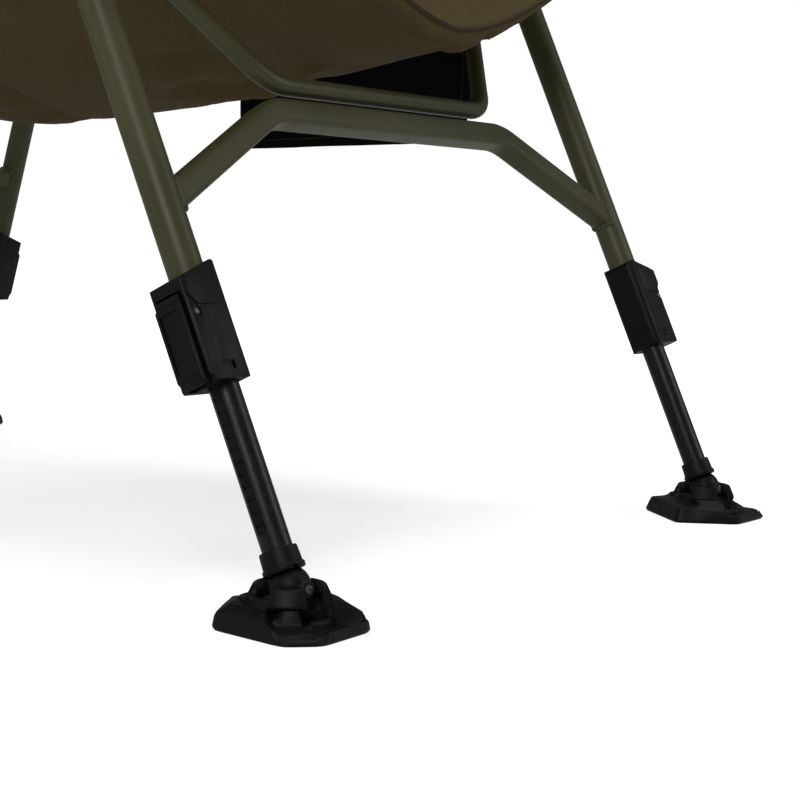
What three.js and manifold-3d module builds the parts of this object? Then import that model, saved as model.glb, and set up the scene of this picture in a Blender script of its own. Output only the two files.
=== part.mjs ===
// A folding and reclining carp fishing chair on four telescopic legs, in millimetres.
// +Z is up and the sitter faces -Y. Left is the sitter's left, +X.
// The origin is on the ground, midway between the four feet.

import * as THREE from 'three';
import { mergeVertices } from 'three/addons/utils/BufferGeometryUtils.js';
import Module from 'manifold-3d';

const wasm = await Module();
wasm.setup();

const { degToRad, lerp } = THREE.MathUtils;

// Driving dimensions: the stance of the legs and the reach of the frame
const footSpan = 979;
const legSpacing = 618;
const ankleHeight = 26.6;
const frontLean = degToRad(25.03);
const rearLean = degToRad(16.7);
const frontPivotReach = 534.5;
const railSlope = degToRad(7.4);
const recline = degToRad(32);
const backPivotAlong = 378;
const backPivotRise = 38;
const backHeight = 690;
const postForward = 77;
const armRise = 185;

// Tubes of the frame, as outside radius and wall
const legTube = { radius: 12.5, wall: 1.5, stub: 15 };
const innerTube = { radius: 10.25, wall: 1.4, top: 300 };
const railTube = { radius: 11, wall: 1.5 };
const hoopTube = { radius: 7.4, wall: 1.5 };
const crossTube = { radius: 8, wall: 1.5 };
const postTube = { radius: 9, wall: 1.5, foot: 10, head: 8 };
const braceTube = { side: 20, corner: 4.5, wall: 1.5 };

// Clearances, and how finely round shapes are cut
const touchGap = 0.3;
const runningGap = 0.4;
const overrun = 2;
const tubeSides = 16;
const thinSides = 12;
const boltSides = 8;
const ballSides = 16;
const ballRings = 10;
const bendSteps = 3;
const weldTolerance = 1e-4;

// The padded seat, measured in the frame of the rails
const seat = {
  front: -137, length: 567, edgeBelow: 8, edge: 16, crown: 44, sag: 119, belly: 12, rearLift: 34,
  nose: 11, channel: 7,
};

// Finishes, from the photograph
const paint = { color: 0x4a4934, roughness: 0.42, metalness: 0.15 };
const moulding = { color: 0x121211, roughness: 0.48, metalness: 0 };
const blackTube = { color: 0x161615, roughness: 0.35, metalness: 0.3 };
const fabric = { color: 0x5b5037, roughness: 0.92, metalness: 0 };
const webbing = { color: 0x0b0b0b, roughness: 0.85, metalness: 0 };
const foam = { color: 0x1b1b1a, roughness: 0.8, metalness: 0 };

// Places that follow from the driving dimensions
const legX = legSpacing / 2;
const frontAnkleY = -footSpan / 2;
const rearAnkleY = footSpan / 2;
const railPivotY = frontAnkleY + frontPivotReach * Math.sin(frontLean);
const railPivotZ = ankleHeight + frontPivotReach * Math.cos(frontLean);
const runToRear = rearAnkleY - railPivotY;
const fallToRear = railPivotZ - ankleHeight;
const legRailCosine = Math.cos(railSlope + rearLean);
const rearRun = runToRear * Math.cos(rearLean) - fallToRear * Math.sin(rearLean);
const rearFall = fallToRear * Math.cos(railSlope) - runToRear * Math.sin(railSlope);
const rearPivotAlong = rearRun / legRailCosine;
const rearPivotReach = rearFall / legRailCosine;

// Frames that the pieces are built in. In a leg frame +Z runs up the leg, in the rail frame
// +Y runs back along the seat rails, and in the back frame +Z runs up the backrest.
const chair = new THREE.Group();

function frame(parent, position, tilt) {
  const group = new THREE.Group();
  group.position.set(...position);
  group.rotation.x = tilt;
  parent.add(group);
  return group;
}

const backTilt = railSlope - recline;
const armPitch = Math.atan2(backPivotRise, backPivotAlong + postForward);
const armLength = Math.hypot(backPivotRise, backPivotAlong + postForward);
const armY = -postForward - armRise * Math.sin(backTilt);
const rails = frame(chair, [0, railPivotY, railPivotZ], -railSlope);
const back = frame(rails, [0, backPivotAlong, backPivotRise], backTilt);
const posts = frame(rails, [0, -postForward, 0], backTilt);
const arms = frame(rails, [0, armY, armRise * Math.cos(backTilt)], armPitch);
const ends = {
  front: { turn: 1, lean: frontLean, reach: frontPivotReach, ankleY: frontAnkleY, pivotAlong: 0 },
  rear: { turn: -1, lean: rearLean, reach: rearPivotReach, ankleY: rearAnkleY, pivotAlong: rearPivotAlong },
};
for (const end of Object.values(ends)) {
  end.leg = frame(chair, [0, end.ankleY, ankleHeight], -end.turn * end.lean);
  end.ankle = frame(chair, [0, end.ankleY, ankleHeight], 0);
}
const sides = { left: 1, right: -1 };
const bothSides = (make) => Object.values(sides).map(make);

// Helpers that make, place, cut and join solids

function piece(name, geometry, finish, parent) {
  const mesh = new THREE.Mesh(geometry, new THREE.MeshStandardMaterial(finish));
  mesh.name = name;
  parent.add(mesh);
}

function welded(geometry) {
  const bare = geometry.clone();
  bare.deleteAttribute('normal');
  bare.deleteAttribute('uv');
  return mergeVertices(bare, weldTolerance);
}

function solid(geometry) {
  const merged = welded(geometry);
  return new wasm.Manifold(new wasm.Mesh({
    numProp: 3,
    vertProperties: new Float32Array(merged.attributes.position.array),
    triVerts: new Uint32Array(merged.index.array),
  }));
}

function shell(positions, index) {
  const geometry = new THREE.BufferGeometry();
  geometry.setAttribute('position', new THREE.BufferAttribute(new Float32Array(positions), 3));
  geometry.setIndex(new THREE.BufferAttribute(new Uint32Array(index), 1));
  geometry.computeVertexNormals();
  return geometry;
}

function surface(manifold) {
  const mesh = manifold.getMesh();
  return shell(mesh.vertProperties, mesh.triVerts);
}

function cut(body, ...tools) {
  return surface(tools.reduce((rest, tool) => rest.subtract(solid(tool)), solid(body)));
}

function join(first, ...others) {
  return surface(others.reduce((sum, other) => sum.add(solid(other)), solid(first)));
}

// A copy for one corner of the chair: mirrored across for the right side, and mirrored
// fore and aft for the rear legs
function mirrored(geometry, across, foreAndAft = 1) {
  const copy = welded(geometry);
  copy.scale(across, foreAndAft, 1);
  const index = Array.from(copy.index.array);
  if (across * foreAndAft < 0) index.reverse();
  return shell(copy.attributes.position.array, index);
}

// Round bars along Z, Y or X, between two places on that axis
function rod(radius, from, to, count = tubeSides) {
  const bar = new THREE.CylinderGeometry(radius, radius, to - from, count);
  return bar.rotateX(Math.PI / 2).translate(0, 0, (from + to) / 2);
}

function rodY(radius, from, to, count = thinSides) {
  const bar = new THREE.CylinderGeometry(radius, radius, to - from, count);
  return bar.translate(0, (from + to) / 2, 0);
}

function rodX(radius, from, to, count = boltSides) {
  const bar = new THREE.CylinderGeometry(radius, radius, to - from, count);
  return bar.rotateZ(-Math.PI / 2).translate((from + to) / 2, 0, 0);
}

// A round bar between any two points
function rodBetween(radius, from, to, count = thinSides) {
  const run = to.clone().sub(from);
  const bar = new THREE.CylinderGeometry(radius, radius, run.length(), count);
  const turn = new THREE.Quaternion().setFromUnitVectors(new THREE.Vector3(0, 1, 0), run.normalize());
  const middle = from.clone().add(to).divideScalar(2);
  return bar.applyQuaternion(turn).translate(middle.x, middle.y, middle.z);
}

// A box between two corners
function block(low, high) {
  const size = high.map((value, i) => value - low[i]);
  const middle = high.map((value, i) => (value + low[i]) / 2);
  return new THREE.BoxGeometry(...size).translate(...middle);
}

// A straight round tube along Z
function pipe(tube, from, to, count = tubeSides) {
  const bore = rod(tube.radius - tube.wall, from - overrun, to + overrun, count);
  return cut(rod(tube.radius, from, to, count), bore);
}

// A flat outline in X and Z, thickened along Y about the middle
function slab(outline, width, segments = thinSides / 2) {
  const shape = Array.isArray(outline) ? new THREE.Shape(outline) : outline;
  const options = { depth: width, bevelEnabled: false, curveSegments: segments };
  const made = new THREE.ExtrudeGeometry(shape, options);
  return made.rotateX(Math.PI / 2).translate(0, width / 2, 0);
}

// A flat outline in Y and Z, thickened along X about the middle
function sideSlab(outline, width, segments) {
  return slab(outline, width, segments).rotateZ(Math.PI / 2);
}

const at = (x, y) => new THREE.Vector2(x, y);
const point = (x, y, z) => new THREE.Vector3(x, y, z);

// A wire through corner points, each inner corner rounded to one radius
class BentWire extends THREE.Curve {
  constructor(corners, radius) {
    super();
    this.stations = [];
    this.headings = [];
    const last = corners.length - 1;
    this.addStation(corners[0], corners[1].clone().sub(corners[0]).normalize());
    for (let i = 1; i < last; i += 1) this.addBend(corners[i - 1], corners[i], corners[i + 1], radius);
    this.addStation(corners[last], corners[last].clone().sub(corners[last - 1]).normalize());
  }

  addStation(place, heading) {
    this.stations.push(place.clone());
    this.headings.push(heading.clone());
  }

  addBend(before, corner, after, radius) {
    const into = corner.clone().sub(before).normalize();
    const out = after.clone().sub(corner).normalize();
    const turn = into.angleTo(out);
    const inward = out.clone().addScaledVector(into, -into.dot(out)).normalize();
    const start = corner.clone().addScaledVector(into, -radius * Math.tan(turn / 2));
    const centre = start.clone().addScaledVector(inward, radius);
    for (let k = 0; k <= bendSteps; k += 1) {
      const angle = turn * k / bendSteps;
      const place = centre.clone().addScaledVector(inward, -radius * Math.cos(angle));
      place.addScaledVector(into, radius * Math.sin(angle));
      const heading = into.clone().multiplyScalar(Math.cos(angle)).addScaledVector(inward, Math.sin(angle));
      this.addStation(place, heading);
    }
  }

  blend(list, t, target) {
    const place = t * (list.length - 1);
    const low = Math.min(Math.floor(place), list.length - 2);
    return target.copy(list[low]).lerp(list[low + 1], place - low);
  }

  getPoint(t, target = new THREE.Vector3()) {
    return this.blend(this.stations, t, target);
  }

  getPointAt(u, target = new THREE.Vector3()) {
    return this.getPoint(u, target);
  }

  getTangentAt(u, target = new THREE.Vector3()) {
    return this.blend(this.headings, u, target).normalize();
  }
}

// A hollow section carried along a wire
function bentTube(outer, inner, wire, segments) {
  outer.holes.push(inner);
  const steps = wire.stations.length - 1;
  const options = { steps, bevelEnabled: false, extrudePath: wire, curveSegments: segments };
  return new THREE.ExtrudeGeometry(outer, options);
}

function circle(radius) {
  return new THREE.Shape().absarc(0, 0, radius, 0, 2 * Math.PI, false);
}

function bentPipe(tube, corners, bendRadius, count = thinSides) {
  const wire = new BentWire(corners, bendRadius);
  return bentTube(circle(tube.radius), circle(tube.radius - tube.wall), wire, count / 2);
}

function roundedSquare(half, corner) {
  const flat = half - corner;
  const shape = new THREE.Shape();
  shape.absarc(flat, flat, corner, 0, Math.PI / 2, false);
  shape.absarc(-flat, flat, corner, Math.PI / 2, Math.PI, false);
  shape.absarc(-flat, -flat, corner, Math.PI, 1.5 * Math.PI, false);
  shape.absarc(flat, -flat, corner, 1.5 * Math.PI, 2 * Math.PI, false);
  return shape;
}

function bentSquareTube(corners, bendRadius) {
  const half = braceTube.side / 2;
  const wall = braceTube.wall;
  const outer = roundedSquare(half, braceTube.corner);
  const inner = roundedSquare(half - wall, braceTube.corner - wall);
  return bentTube(outer, inner, new BentWire(corners, bendRadius), 1);
}

// Seat rails, two straight tubes inside the legs, with their plugs and pivot bolts
const plate = { thickness: 4, reach: 17, tab: 38, flange: 3, flangeTop: 18, outward: 22 };
const plateX = legX - legTube.radius - touchGap - plate.thickness / 2;
const railX = plateX - plate.thickness / 2 - touchGap - railTube.radius;
const rail = { frontReach: 137, rearReach: 26 };
const railFront = -rail.frontReach;
const railRear = rearPivotAlong + rail.rearReach;
const plug = { length: 14, cap: 3 };
const bolt = { radius: 4, head: 8, headHeight: 4.5, depth: 5, washer: 7 };
const boltHole = bolt.radius + runningGap;
const legFace = legX + legTube.radius + touchGap;
const postFace = legX + postTube.radius + touchGap;
const postInner = legX - postTube.radius - touchGap;

// A rivet that starts inside a tube of the frame and is headed on the outside
function rivet(headFrom) {
  const shank = rodX(bolt.radius, railX - bolt.depth, headFrom + bolt.headHeight / 2);
  return join(shank, rodX(bolt.head, headFrom, headFrom + bolt.headHeight));
}

// Each rail is closed at the rear and carries the rivet of its armrest post
function seatRail() {
  const bore = rodY(railTube.radius - railTube.wall, railFront - overrun, railRear - railTube.wall, tubeSides);
  const holes = [0, rearPivotAlong].map((y) => rodX(boltHole, 0, railTube.radius + overrun).translate(0, y, 0));
  const tube = cut(rodY(railTube.radius, railFront, railRear, tubeSides), bore, ...holes);
  const collarX = railX + railTube.radius - railTube.wall / 2;
  const postRivet = join(rivet(postFace), rodX(bolt.washer, collarX, postInner));
  return join(tube.translate(railX, 0, 0), postRivet.translate(0, -postForward, 0));
}

function railPlug() {
  const cap = rodY(railTube.radius, railFront - touchGap - plug.cap, railFront - touchGap, tubeSides);
  const stem = rodY(railTube.radius - railTube.wall - runningGap, railFront - plug.cap / 2, railFront + plug.length);
  return join(cap, stem).translate(railX, 0, 0);
}

// The star knobs that clamp the backrest
const knob = { radius: 20, lobe: 3, lobes: 5, thickness: 16, points: 40 };
const knobInner = plateX + plate.thickness / 2 + touchGap;

function reclineKnob() {
  const outline = [];
  for (let i = 0; i < knob.points; i += 1) {
    const angle = 2 * Math.PI * i / knob.points;
    const reach = knob.radius + knob.lobe * Math.cos(knob.lobes * angle);
    outline.push(at(reach * Math.cos(angle), reach * Math.sin(angle)));
  }
  const hole = rodX(boltHole, -knob.thickness, knob.thickness);
  return cut(sideSlab(outline, knob.thickness), hole).translate(knobInner + knob.thickness / 2, 0, 0);
}

// The plates between the rails and the legs, each with its pivot rivet. A flange on each stops
// its leg when it is open.
function legPlate(end) {
  const outline = new THREE.Shape();
  outline.absarc(0, 0, plate.reach, 0, Math.PI, false);
  outline.lineTo(-plate.reach, -plate.tab);
  outline.lineTo(plate.reach, -plate.tab);
  const web = sideSlab(outline, plate.thickness);
  const face = -legTube.radius - touchGap;
  const start = -plate.thickness / 2;
  const flange = block([start, face - plate.flange, -plate.tab], [plate.outward, face, -plate.flangeTop]);
  const relative = end.turn * railSlope - end.lean;
  const made = join(join(web, flange).rotateX(relative).translate(plateX, 0, 0), rivet(legFace));
  return mirrored(made, 1, end.turn).translate(0, end.pivotAlong, 0);
}

// The dropped hoop under the front of the seat
const hoop = { along: -53, belowSeat: 35.7, half: 148, bend: 38, behindPivot: 36, notchShare: 0.5 };
const hoopDrop = seat.edgeBelow + seat.sag + hoop.belowSeat;

function hoopCorners() {
  return [
    point(-railX, hoop.behindPivot, 0),
    point(-hoop.half, hoop.along, -hoopDrop),
    point(hoop.half, hoop.along, -hoopDrop),
    point(railX, hoop.behindPivot, 0),
  ];
}

const railCutters = bothSides((side) => {
  return rodY(railTube.radius + touchGap, railFront, railRear, tubeSides).translate(side * railX, 0, 0);
});

// The round bar across the rails, behind the seat
const cross = { behindSeat: 40 };

function rearCrossBar() {
  const bar = pipe(crossTube, -railX, railX).rotateY(Math.PI / 2);
  return cut(bar, ...railCutters).translate(0, seat.front + seat.length + cross.behindSeat, 0);
}

// The brackets that carry the backrest, on the outside of the rails, with the knobs' studs
const hinge = { half: 22, foot: 9, top: 15 };

function hingeBracket() {
  const outline = new THREE.Shape();
  outline.moveTo(-hinge.half, -hinge.foot);
  outline.lineTo(hinge.half, -hinge.foot);
  outline.lineTo(hinge.half, 0);
  outline.absarc(0, backPivotRise, hinge.top, 0, Math.PI, false);
  outline.lineTo(-hinge.half, 0);
  const stud = rodX(bolt.radius, railX - bolt.depth, knobInner + knob.thickness).translate(0, 0, backPivotRise);
  const made = join(sideSlab(outline, plate.thickness).translate(plateX, 0, 0), stud);
  return made.translate(0, backPivotAlong, 0);
}

// Telescopic legs: an outer tube, an inner tube with its toothed strip, and the brace
const braces = {
  front: { middleBelow: 194.5, endsBelow: 271.2, half: 160, bend: 60 },
  rear: { middleBelow: 137.4 },
};
const housing = { bottom: 136.4, top: 221.4, shoulder: 166, half: 15.5, outward: 25.5, chamfer: 2.5 };
const slot = { half: 3.8, bottom: 36, top: 226 };
const rack = { inner: 7.6, outer: 9.6, root: 8.3, pitch: 8.5, land: 5.2 };
const ball = { radius: 14, clearance: 0.6 };
const collar = { radius: 12.75, top: 24.9, floor: 17, flange: 14, flangeBottom: 7.5, flangeTop: 12.5 };

function outerTube(end) {
  const tube = pipe(legTube, housing.shoulder + touchGap, end.reach + legTube.stub);
  const hole = rodX(boltHole, -legTube.radius - overrun, legTube.radius + overrun);
  return cut(tube, hole.translate(0, 0, end.reach));
}

function slidingTube() {
  const tube = pipe(innerTube, collar.floor + touchGap, innerTube.top);
  return cut(tube, block([0, -slot.half, slot.bottom], [innerTube.radius + overrun, slot.half, slot.top]));
}

function rackStrip() {
  const bottom = slot.bottom + touchGap;
  const count = Math.floor((slot.top - bottom) / rack.pitch);
  const outline = [at(rack.inner, bottom)];
  for (let i = 0; i < count; i += 1) {
    const start = bottom + i * rack.pitch;
    outline.push(at(rack.outer, start), at(rack.outer, start + rack.land));
    outline.push(at(rack.root, start + rack.land));
  }
  outline.push(at(rack.inner, bottom + (count - 1) * rack.pitch + rack.land));
  return slab(outline, 2 * (slot.half - touchGap));
}

function legBrace(end, brace) {
  const middle = end.reach - brace.middleBelow;
  const atLegs = end.reach - (brace.endsBelow ?? brace.middleBelow);
  const corners = [point(-legX, 0, atLegs), point(legX, 0, atLegs)];
  if (brace.half) corners.splice(1, 0, point(-brace.half, 0, middle), point(brace.half, 0, middle));
  const tubes = bothSides((side) => {
    return rod(legTube.radius + touchGap, housing.top, end.reach).translate(side * legX, 0, 0);
  });
  return cut(bentSquareTube(corners, brace.bend), ...tubes);
}

// The lock at the foot of each outer tube, with its lever on the outer side
const cheek = { floor: 15.2, half: 11 };
const pin = { out: 20.5, height: 183, radius: 2, head: 3.5, headHeight: 1.2 };
const lever = {
  width: 20.4, top: 206, out: 27, step: 186, ramp: 182, face: 31, bevel: 142, tip: 130.4, tipOut: 24,
  inner: 22.5, upperInner: 23, boss: 4.3, pawl: 10.75, pawlTop: 160.5, pawlBottom: 156,
};
const pawlWindow = { half: 11, bottom: 149.5, top: 165 };
const panel = { proud: 1.4, inset: 2, top: 216, bottom: 184, slant: 12 };
const latch = { depth: 1.4, half: 5.2, bottom: 142, top: 148.6, middle: 1.2 };

function lockPin() {
  const end = housing.half + pin.headHeight;
  const head = rodY(pin.head, -end, -cheek.half - overrun);
  return join(rodY(pin.radius, -end, cheek.half + overrun, boltSides), head).translate(pin.out, 0, pin.height);
}

function lockHousing() {
  const { half, outward, chamfer } = housing;
  const outline = new THREE.Shape();
  outline.moveTo(outward, -half + chamfer);
  outline.lineTo(outward - chamfer, -half);
  outline.lineTo(0, -half);
  outline.absarc(0, 0, half, -Math.PI / 2, -1.5 * Math.PI, true);
  outline.lineTo(outward - chamfer, half);
  outline.lineTo(outward, half - chamfer);
  const depth = housing.top - housing.bottom;
  const options = { depth, bevelEnabled: false, curveSegments: thinSides / 2 };
  const body = new THREE.ExtrudeGeometry(outline, options).translate(0, 0, housing.bottom);
  const raised = slab([
    at(-half / 2, panel.top),
    at(-half / 2, panel.bottom),
    at(outward - chamfer - panel.inset, panel.bottom + panel.slant),
    at(outward - chamfer - panel.inset, panel.top),
  ], 2 * panel.proud).translate(0, -half, 0);
  const tubeSeat = rod(legTube.radius + touchGap, housing.shoulder, housing.top + overrun);
  const slideWay = rod(innerTube.radius + runningGap, housing.bottom - overrun, housing.top);
  const leverSlot = block([cheek.floor, -cheek.half, housing.bottom - overrun],
    [outward + overrun, cheek.half, housing.top + overrun]);
  const window = block([0, -pawlWindow.half, pawlWindow.bottom],
    [cheek.floor + overrun, pawlWindow.half, pawlWindow.top]);
  const recess = block([latch.middle, -half - overrun, latch.bottom],
    [latch.middle + 2 * latch.half, -half + latch.depth, latch.top]);
  return join(cut(join(body, raised), tubeSeat, slideWay, leverSlot, window, recess), lockPin());
}

function lockLever() {
  const inside = pin.out - lever.boss;
  const outline = [
    at(lever.upperInner, lever.top), at(lever.upperInner, pin.height + lever.boss),
    at(pin.out, pin.height + lever.boss), at(inside, pin.height),
    at(inside, pawlWindow.top), at(lever.pawl, lever.pawlTop), at(lever.pawl, lever.pawlBottom),
    at(lever.inner, pawlWindow.bottom), at(lever.inner, lever.tip + overrun), at(lever.tipOut, lever.tip),
    at(lever.face, lever.bevel), at(lever.face, lever.ramp), at(lever.out, lever.step),
    at(lever.out, lever.top),
  ];
  const hole = rodY(pin.radius + runningGap, -lever.width, lever.width, boltSides);
  return cut(slab(outline, lever.width), hole.translate(pin.out, 0, pin.height));
}

// Swivel feet: the collar's tang turns in the ball, and the ball turns in the base's cup
const tang = { radius: 9, half: 4.6, neck: 5.5, pin: 3, pinEndShare: 0.75 };
const swing = { less: degToRad(20), more: degToRad(15), reach: 20 };

function footCollar() {
  const { radius, top, floor, flange, flangeBottom, flangeTop } = collar;
  const bore = innerTube.radius + touchGap;
  const ring = new THREE.LatheGeometry([
    at(0, flangeBottom), at(flange, flangeBottom), at(flange, flangeTop), at(radius, flangeTop),
    at(radius, top), at(bore, top), at(bore, floor), at(0, floor),
  ], tubeSides).rotateX(Math.PI / 2);
  const hollow = new THREE.SphereGeometry(ball.radius + ball.clearance, ballSides, ballRings);
  const eye = rodX(tang.radius, -tang.half, tang.half, thinSides);
  const neck = block([-tang.half, -tang.neck, 0], [tang.half, tang.neck, floor - touchGap]);
  const hole = rodX(tang.pin + runningGap, -tang.radius, tang.radius);
  return cut(join(cut(ring, hollow.rotateX(Math.PI / 2)), eye, neck), hole);
}

function footBall(lean) {
  const half = tang.half + runningGap;
  const neck = tang.neck + runningGap;
  const least = lean - swing.less;
  const most = lean + swing.more;
  const along = (angle) => at(Math.sin(angle), Math.cos(angle));
  const beside = (angle) => at(Math.cos(angle), -Math.sin(angle));
  const wedge = sideSlab([
    beside(least).multiplyScalar(-neck),
    beside(most).multiplyScalar(neck),
    beside(most).multiplyScalar(neck).addScaledVector(along(most), swing.reach),
    along((least + most) / 2).multiplyScalar(swing.reach + neck),
    beside(least).multiplyScalar(-neck).addScaledVector(along(least), swing.reach),
  ], 2 * half);
  const eye = rodX(tang.radius + runningGap, -half, half, thinSides);
  const sphere = new THREE.SphereGeometry(ball.radius, ballSides, ballRings).rotateX(Math.PI / 2);
  const spindleEnd = half + (ball.radius - half) * tang.pinEndShare;
  return join(cut(sphere, wedge, eye), rodX(tang.pin, -spindleEnd, spindleEnd));
}

// The base: six sides at their own distances from the ball, rising to a round cup. Each side
// faces an angle from the outward direction, turning towards the middle of the chair.
const base = {
  rays: 30, roundness: 20, skirt: 3, shoulder: 10.5, crown: 20, cupRadius: 27, rimRadius: 23.5, rimAbove: 2,
};
const baseSides = [
  { facing: degToRad(8), reach: 42 },
  { facing: degToRad(62), reach: 47 },
  { facing: degToRad(138), reach: 42 },
  { facing: degToRad(213), reach: 47 },
  { facing: degToRad(268), reach: 48 },
  { facing: degToRad(315), reach: 54.4 },
];
const rimShares = { ground: 0.965, shoulder: 0.95 };
const cup = { seatTop: -4, inner: 20, pocketHalf: 9.5, pocketFloor: 8, pocketReach: 37 };

function baseReach(angle) {
  let sum = 0;
  for (const { facing, reach } of baseSides) {
    sum += (Math.max(Math.cos(angle - facing), 0) / reach) ** base.roundness;
  }
  return sum ** (-1 / base.roundness);
}

function footBase() {
  const floor = -ankleHeight;
  const rings = [
    { z: floor, share: rimShares.ground },
    { z: floor + base.skirt, share: 1 },
    { z: floor + base.shoulder, share: rimShares.shoulder },
    { z: floor + base.crown, radius: base.cupRadius },
    { z: base.rimAbove, radius: base.rimRadius },
  ];
  const positions = [];
  const index = [];
  const { rays } = base;
  for (const { z, share, radius } of rings) {
    for (let i = 0; i < rays; i += 1) {
      const angle = 2 * Math.PI * i / rays;
      const reach = radius ?? share * baseReach(angle);
      positions.push(reach * Math.cos(angle), reach * Math.sin(angle), z);
    }
  }
  const last = rings.length - 1;
  for (let r = 0; r < last; r += 1) {
    for (let i = 0; i < rays; i += 1) {
      const here = r * rays + i;
      const next = r * rays + (i + 1) % rays;
      index.push(here, next, next + rays, here, next + rays, here + rays);
    }
  }
  for (let i = 1; i < rays - 1; i += 1) {
    index.push(0, i + 1, i);
    index.push(last * rays, last * rays + i, last * rays + i + 1);
  }
  const seat = new THREE.SphereGeometry(ball.radius + ball.clearance, ballSides, ballRings).rotateX(Math.PI / 2);
  const wall = rod(cup.inner, cup.seatTop, base.rimAbove + overrun);
  const pocket = block([-cup.pocketHalf, -cup.pocketReach, floor + cup.pocketFloor],
    [cup.pocketHalf, 0, base.rimAbove + overrun]);
  return cut(shell(positions, index), seat, wall, pocket);
}

// Padding, as a grid of points on its face and on its underside, with a rounded edge between
function padding(columns, rows, place) {
  const positions = [];
  const index = [];
  const across = columns + 1;
  const layerSize = across * (rows + 1);
  for (const layer of [1, -1]) {
    for (let j = 0; j <= rows; j += 1) {
      for (let i = 0; i <= columns; i += 1) positions.push(...place(2 * i / columns - 1, j / rows, layer));
    }
  }
  for (let j = 0; j < rows; j += 1) {
    for (let i = 0; i < columns; i += 1) {
      const a = j * across + i;
      const b = a + layerSize;
      index.push(a, a + 1, a + 1 + across, a, a + 1 + across, a + across);
      index.push(b, b + 1 + across, b + 1, b, b + across, b + 1 + across);
    }
  }
  const border = [];
  for (let i = 0; i < columns; i += 1) border.push([i, 0]);
  for (let j = 0; j < rows; j += 1) border.push([columns, j]);
  for (let i = columns; i > 0; i -= 1) border.push([i, rows]);
  for (let j = rows; j > 0; j -= 1) border.push([0, j]);
  border.forEach(([i, j]) => positions.push(...place(2 * i / columns - 1, j / rows, 0)));
  border.forEach(([i, j], k) => {
    const [nextI, nextJ] = border[(k + 1) % border.length];
    const face = j * across + i;
    const nextFace = nextJ * across + nextI;
    const edge = 2 * layerSize + k;
    const nextEdge = 2 * layerSize + (k + 1) % border.length;
    index.push(edge, nextEdge, nextFace, edge, nextFace, face);
    index.push(face + layerSize, nextFace + layerSize, nextEdge, face + layerSize, nextEdge, edge);
  });
  return shell(positions, index);
}

// How far a crown has risen at a share of the way across or along the padding
const crownShare = (share, sharpness) => Math.sqrt(Math.max(1 - Math.abs(share) ** sharpness, 0));
const eased = (share, pull) => share - pull * Math.sin(2 * Math.PI * share) / (2 * Math.PI);

// The depth of the sewn channels, which lie on every few rows of the padding
function channelShare(share, grid) {
  const row = share * grid.rows;
  const nearest = grid.spacing * Math.round(row / grid.spacing);
  const inside = nearest > 0 && nearest < grid.rows;
  return inside ? Math.max(0, 1 - Math.abs(row - nearest)) : 0;
}

// The seat: a padded sling that hangs between the rails
const padHalf = railX - railTube.radius - touchGap;
const seatGrid = { columns: 12, rows: 18, spacing: 6, pull: 0.4 };
const seatBend = { section: 1.6, rear: 9, side: 4, end: 8 };

function seatUnderside(a, b) {
  const lift = seat.rearLift * b ** seatBend.rear;
  const depth = seat.sag + seat.belly * Math.sin(Math.PI * b) - lift;
  return -seat.edgeBelow - depth * (1 - Math.abs(a) ** seatBend.section);
}

function seatPlace(a, share, layer) {
  const b = eased(share, seatGrid.pull);
  const inward = 1 - a ** seatBend.side;
  const crown = seat.crown * crownShare(a, seatBend.side) * crownShare(2 * b - 1, seatBend.end);
  const groove = seat.channel * channelShare(share, seatGrid) * inward;
  const z = seatUnderside(a, b) + (layer + 1) / 2 * (seat.edge + crown) - layer * groove;
  const nose = layer === 0 ? seat.nose * (2 * b - 1) * inward : 0;
  return [a * padHalf, seat.front + b * seat.length + nose - z * Math.tan(railSlope), z];
}

function seatPad() {
  const [leftTop, leftLow, rightLow, rightTop] = hoopCorners();
  const arms = [[leftTop, leftLow], [rightTop, rightLow]].map(([from, to]) => {
    return rodBetween(hoopTube.radius + 2 * touchGap, from, from.clone().lerp(to, hoop.notchShare));
  });
  return cut(padding(seatGrid.columns, seatGrid.rows, seatPlace), ...arms);
}

// The black pocket that hangs from the left rail. Its rear corners are measured from the pivot of
// the backrest, and the others from the front leg's.
const hanging = {
  thickness: 2.4, frontTop: 52, frontOut: 26, outBelow: 68, frontLow: 58, frontBelow: 163,
  rearTop: 75, rearLow: 60, rearBelow: 136,
};

function sidePocket() {
  const top = -railTube.radius - touchGap;
  const sheet = sideSlab([
    at(hanging.frontTop, top),
    at(hanging.frontOut, -hanging.outBelow),
    at(hanging.frontLow, -hanging.frontBelow),
    at(backPivotAlong - hanging.rearLow, -hanging.rearBelow),
    at(backPivotAlong - hanging.rearTop, top),
  ], hanging.thickness);
  return sheet.translate(railX, 0, 0);
}

// The flat bars of the armrests, between the posts and the back tube
const armBar = { thickness: 6, half: 12.5, flangeThick: 3, flangeHalf: 14, flangeStart: 30, flangeEnd: 290 };
const armBarX = legX - postTube.radius - touchGap - armBar.thickness / 2;

// The backrest: a bent tube, its lower bar, the padding between its sides and the pillow
const backBend = 70;
const backBar = { height: 35 };

function backFrame() {
  const foot = touchGap - hinge.top;
  const corners = [
    point(-railX, 0, foot),
    point(-railX, 0, backHeight),
    point(railX, 0, backHeight),
    point(railX, 0, foot),
  ];
  const hole = rodX(boltHole, railX, railX + railTube.radius + overrun);
  const armRivet = rivet(armBarX + armBar.thickness / 2 + touchGap).translate(0, 0, armRise);
  const tube = cut(bentPipe(railTube, corners, backBend), hole, mirrored(hole, -1));
  return join(tube, armRivet, mirrored(armRivet, -1));
}

function backCrossBar() {
  const tubes = bothSides((side) => {
    return rod(railTube.radius + touchGap, -backHeight, backHeight).translate(side * railX, 0, 0);
  });
  const bar = pipe(crossTube, -railX, railX).rotateY(Math.PI / 2);
  return cut(bar, ...tubes).translate(0, 0, backBar.height);
}

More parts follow.
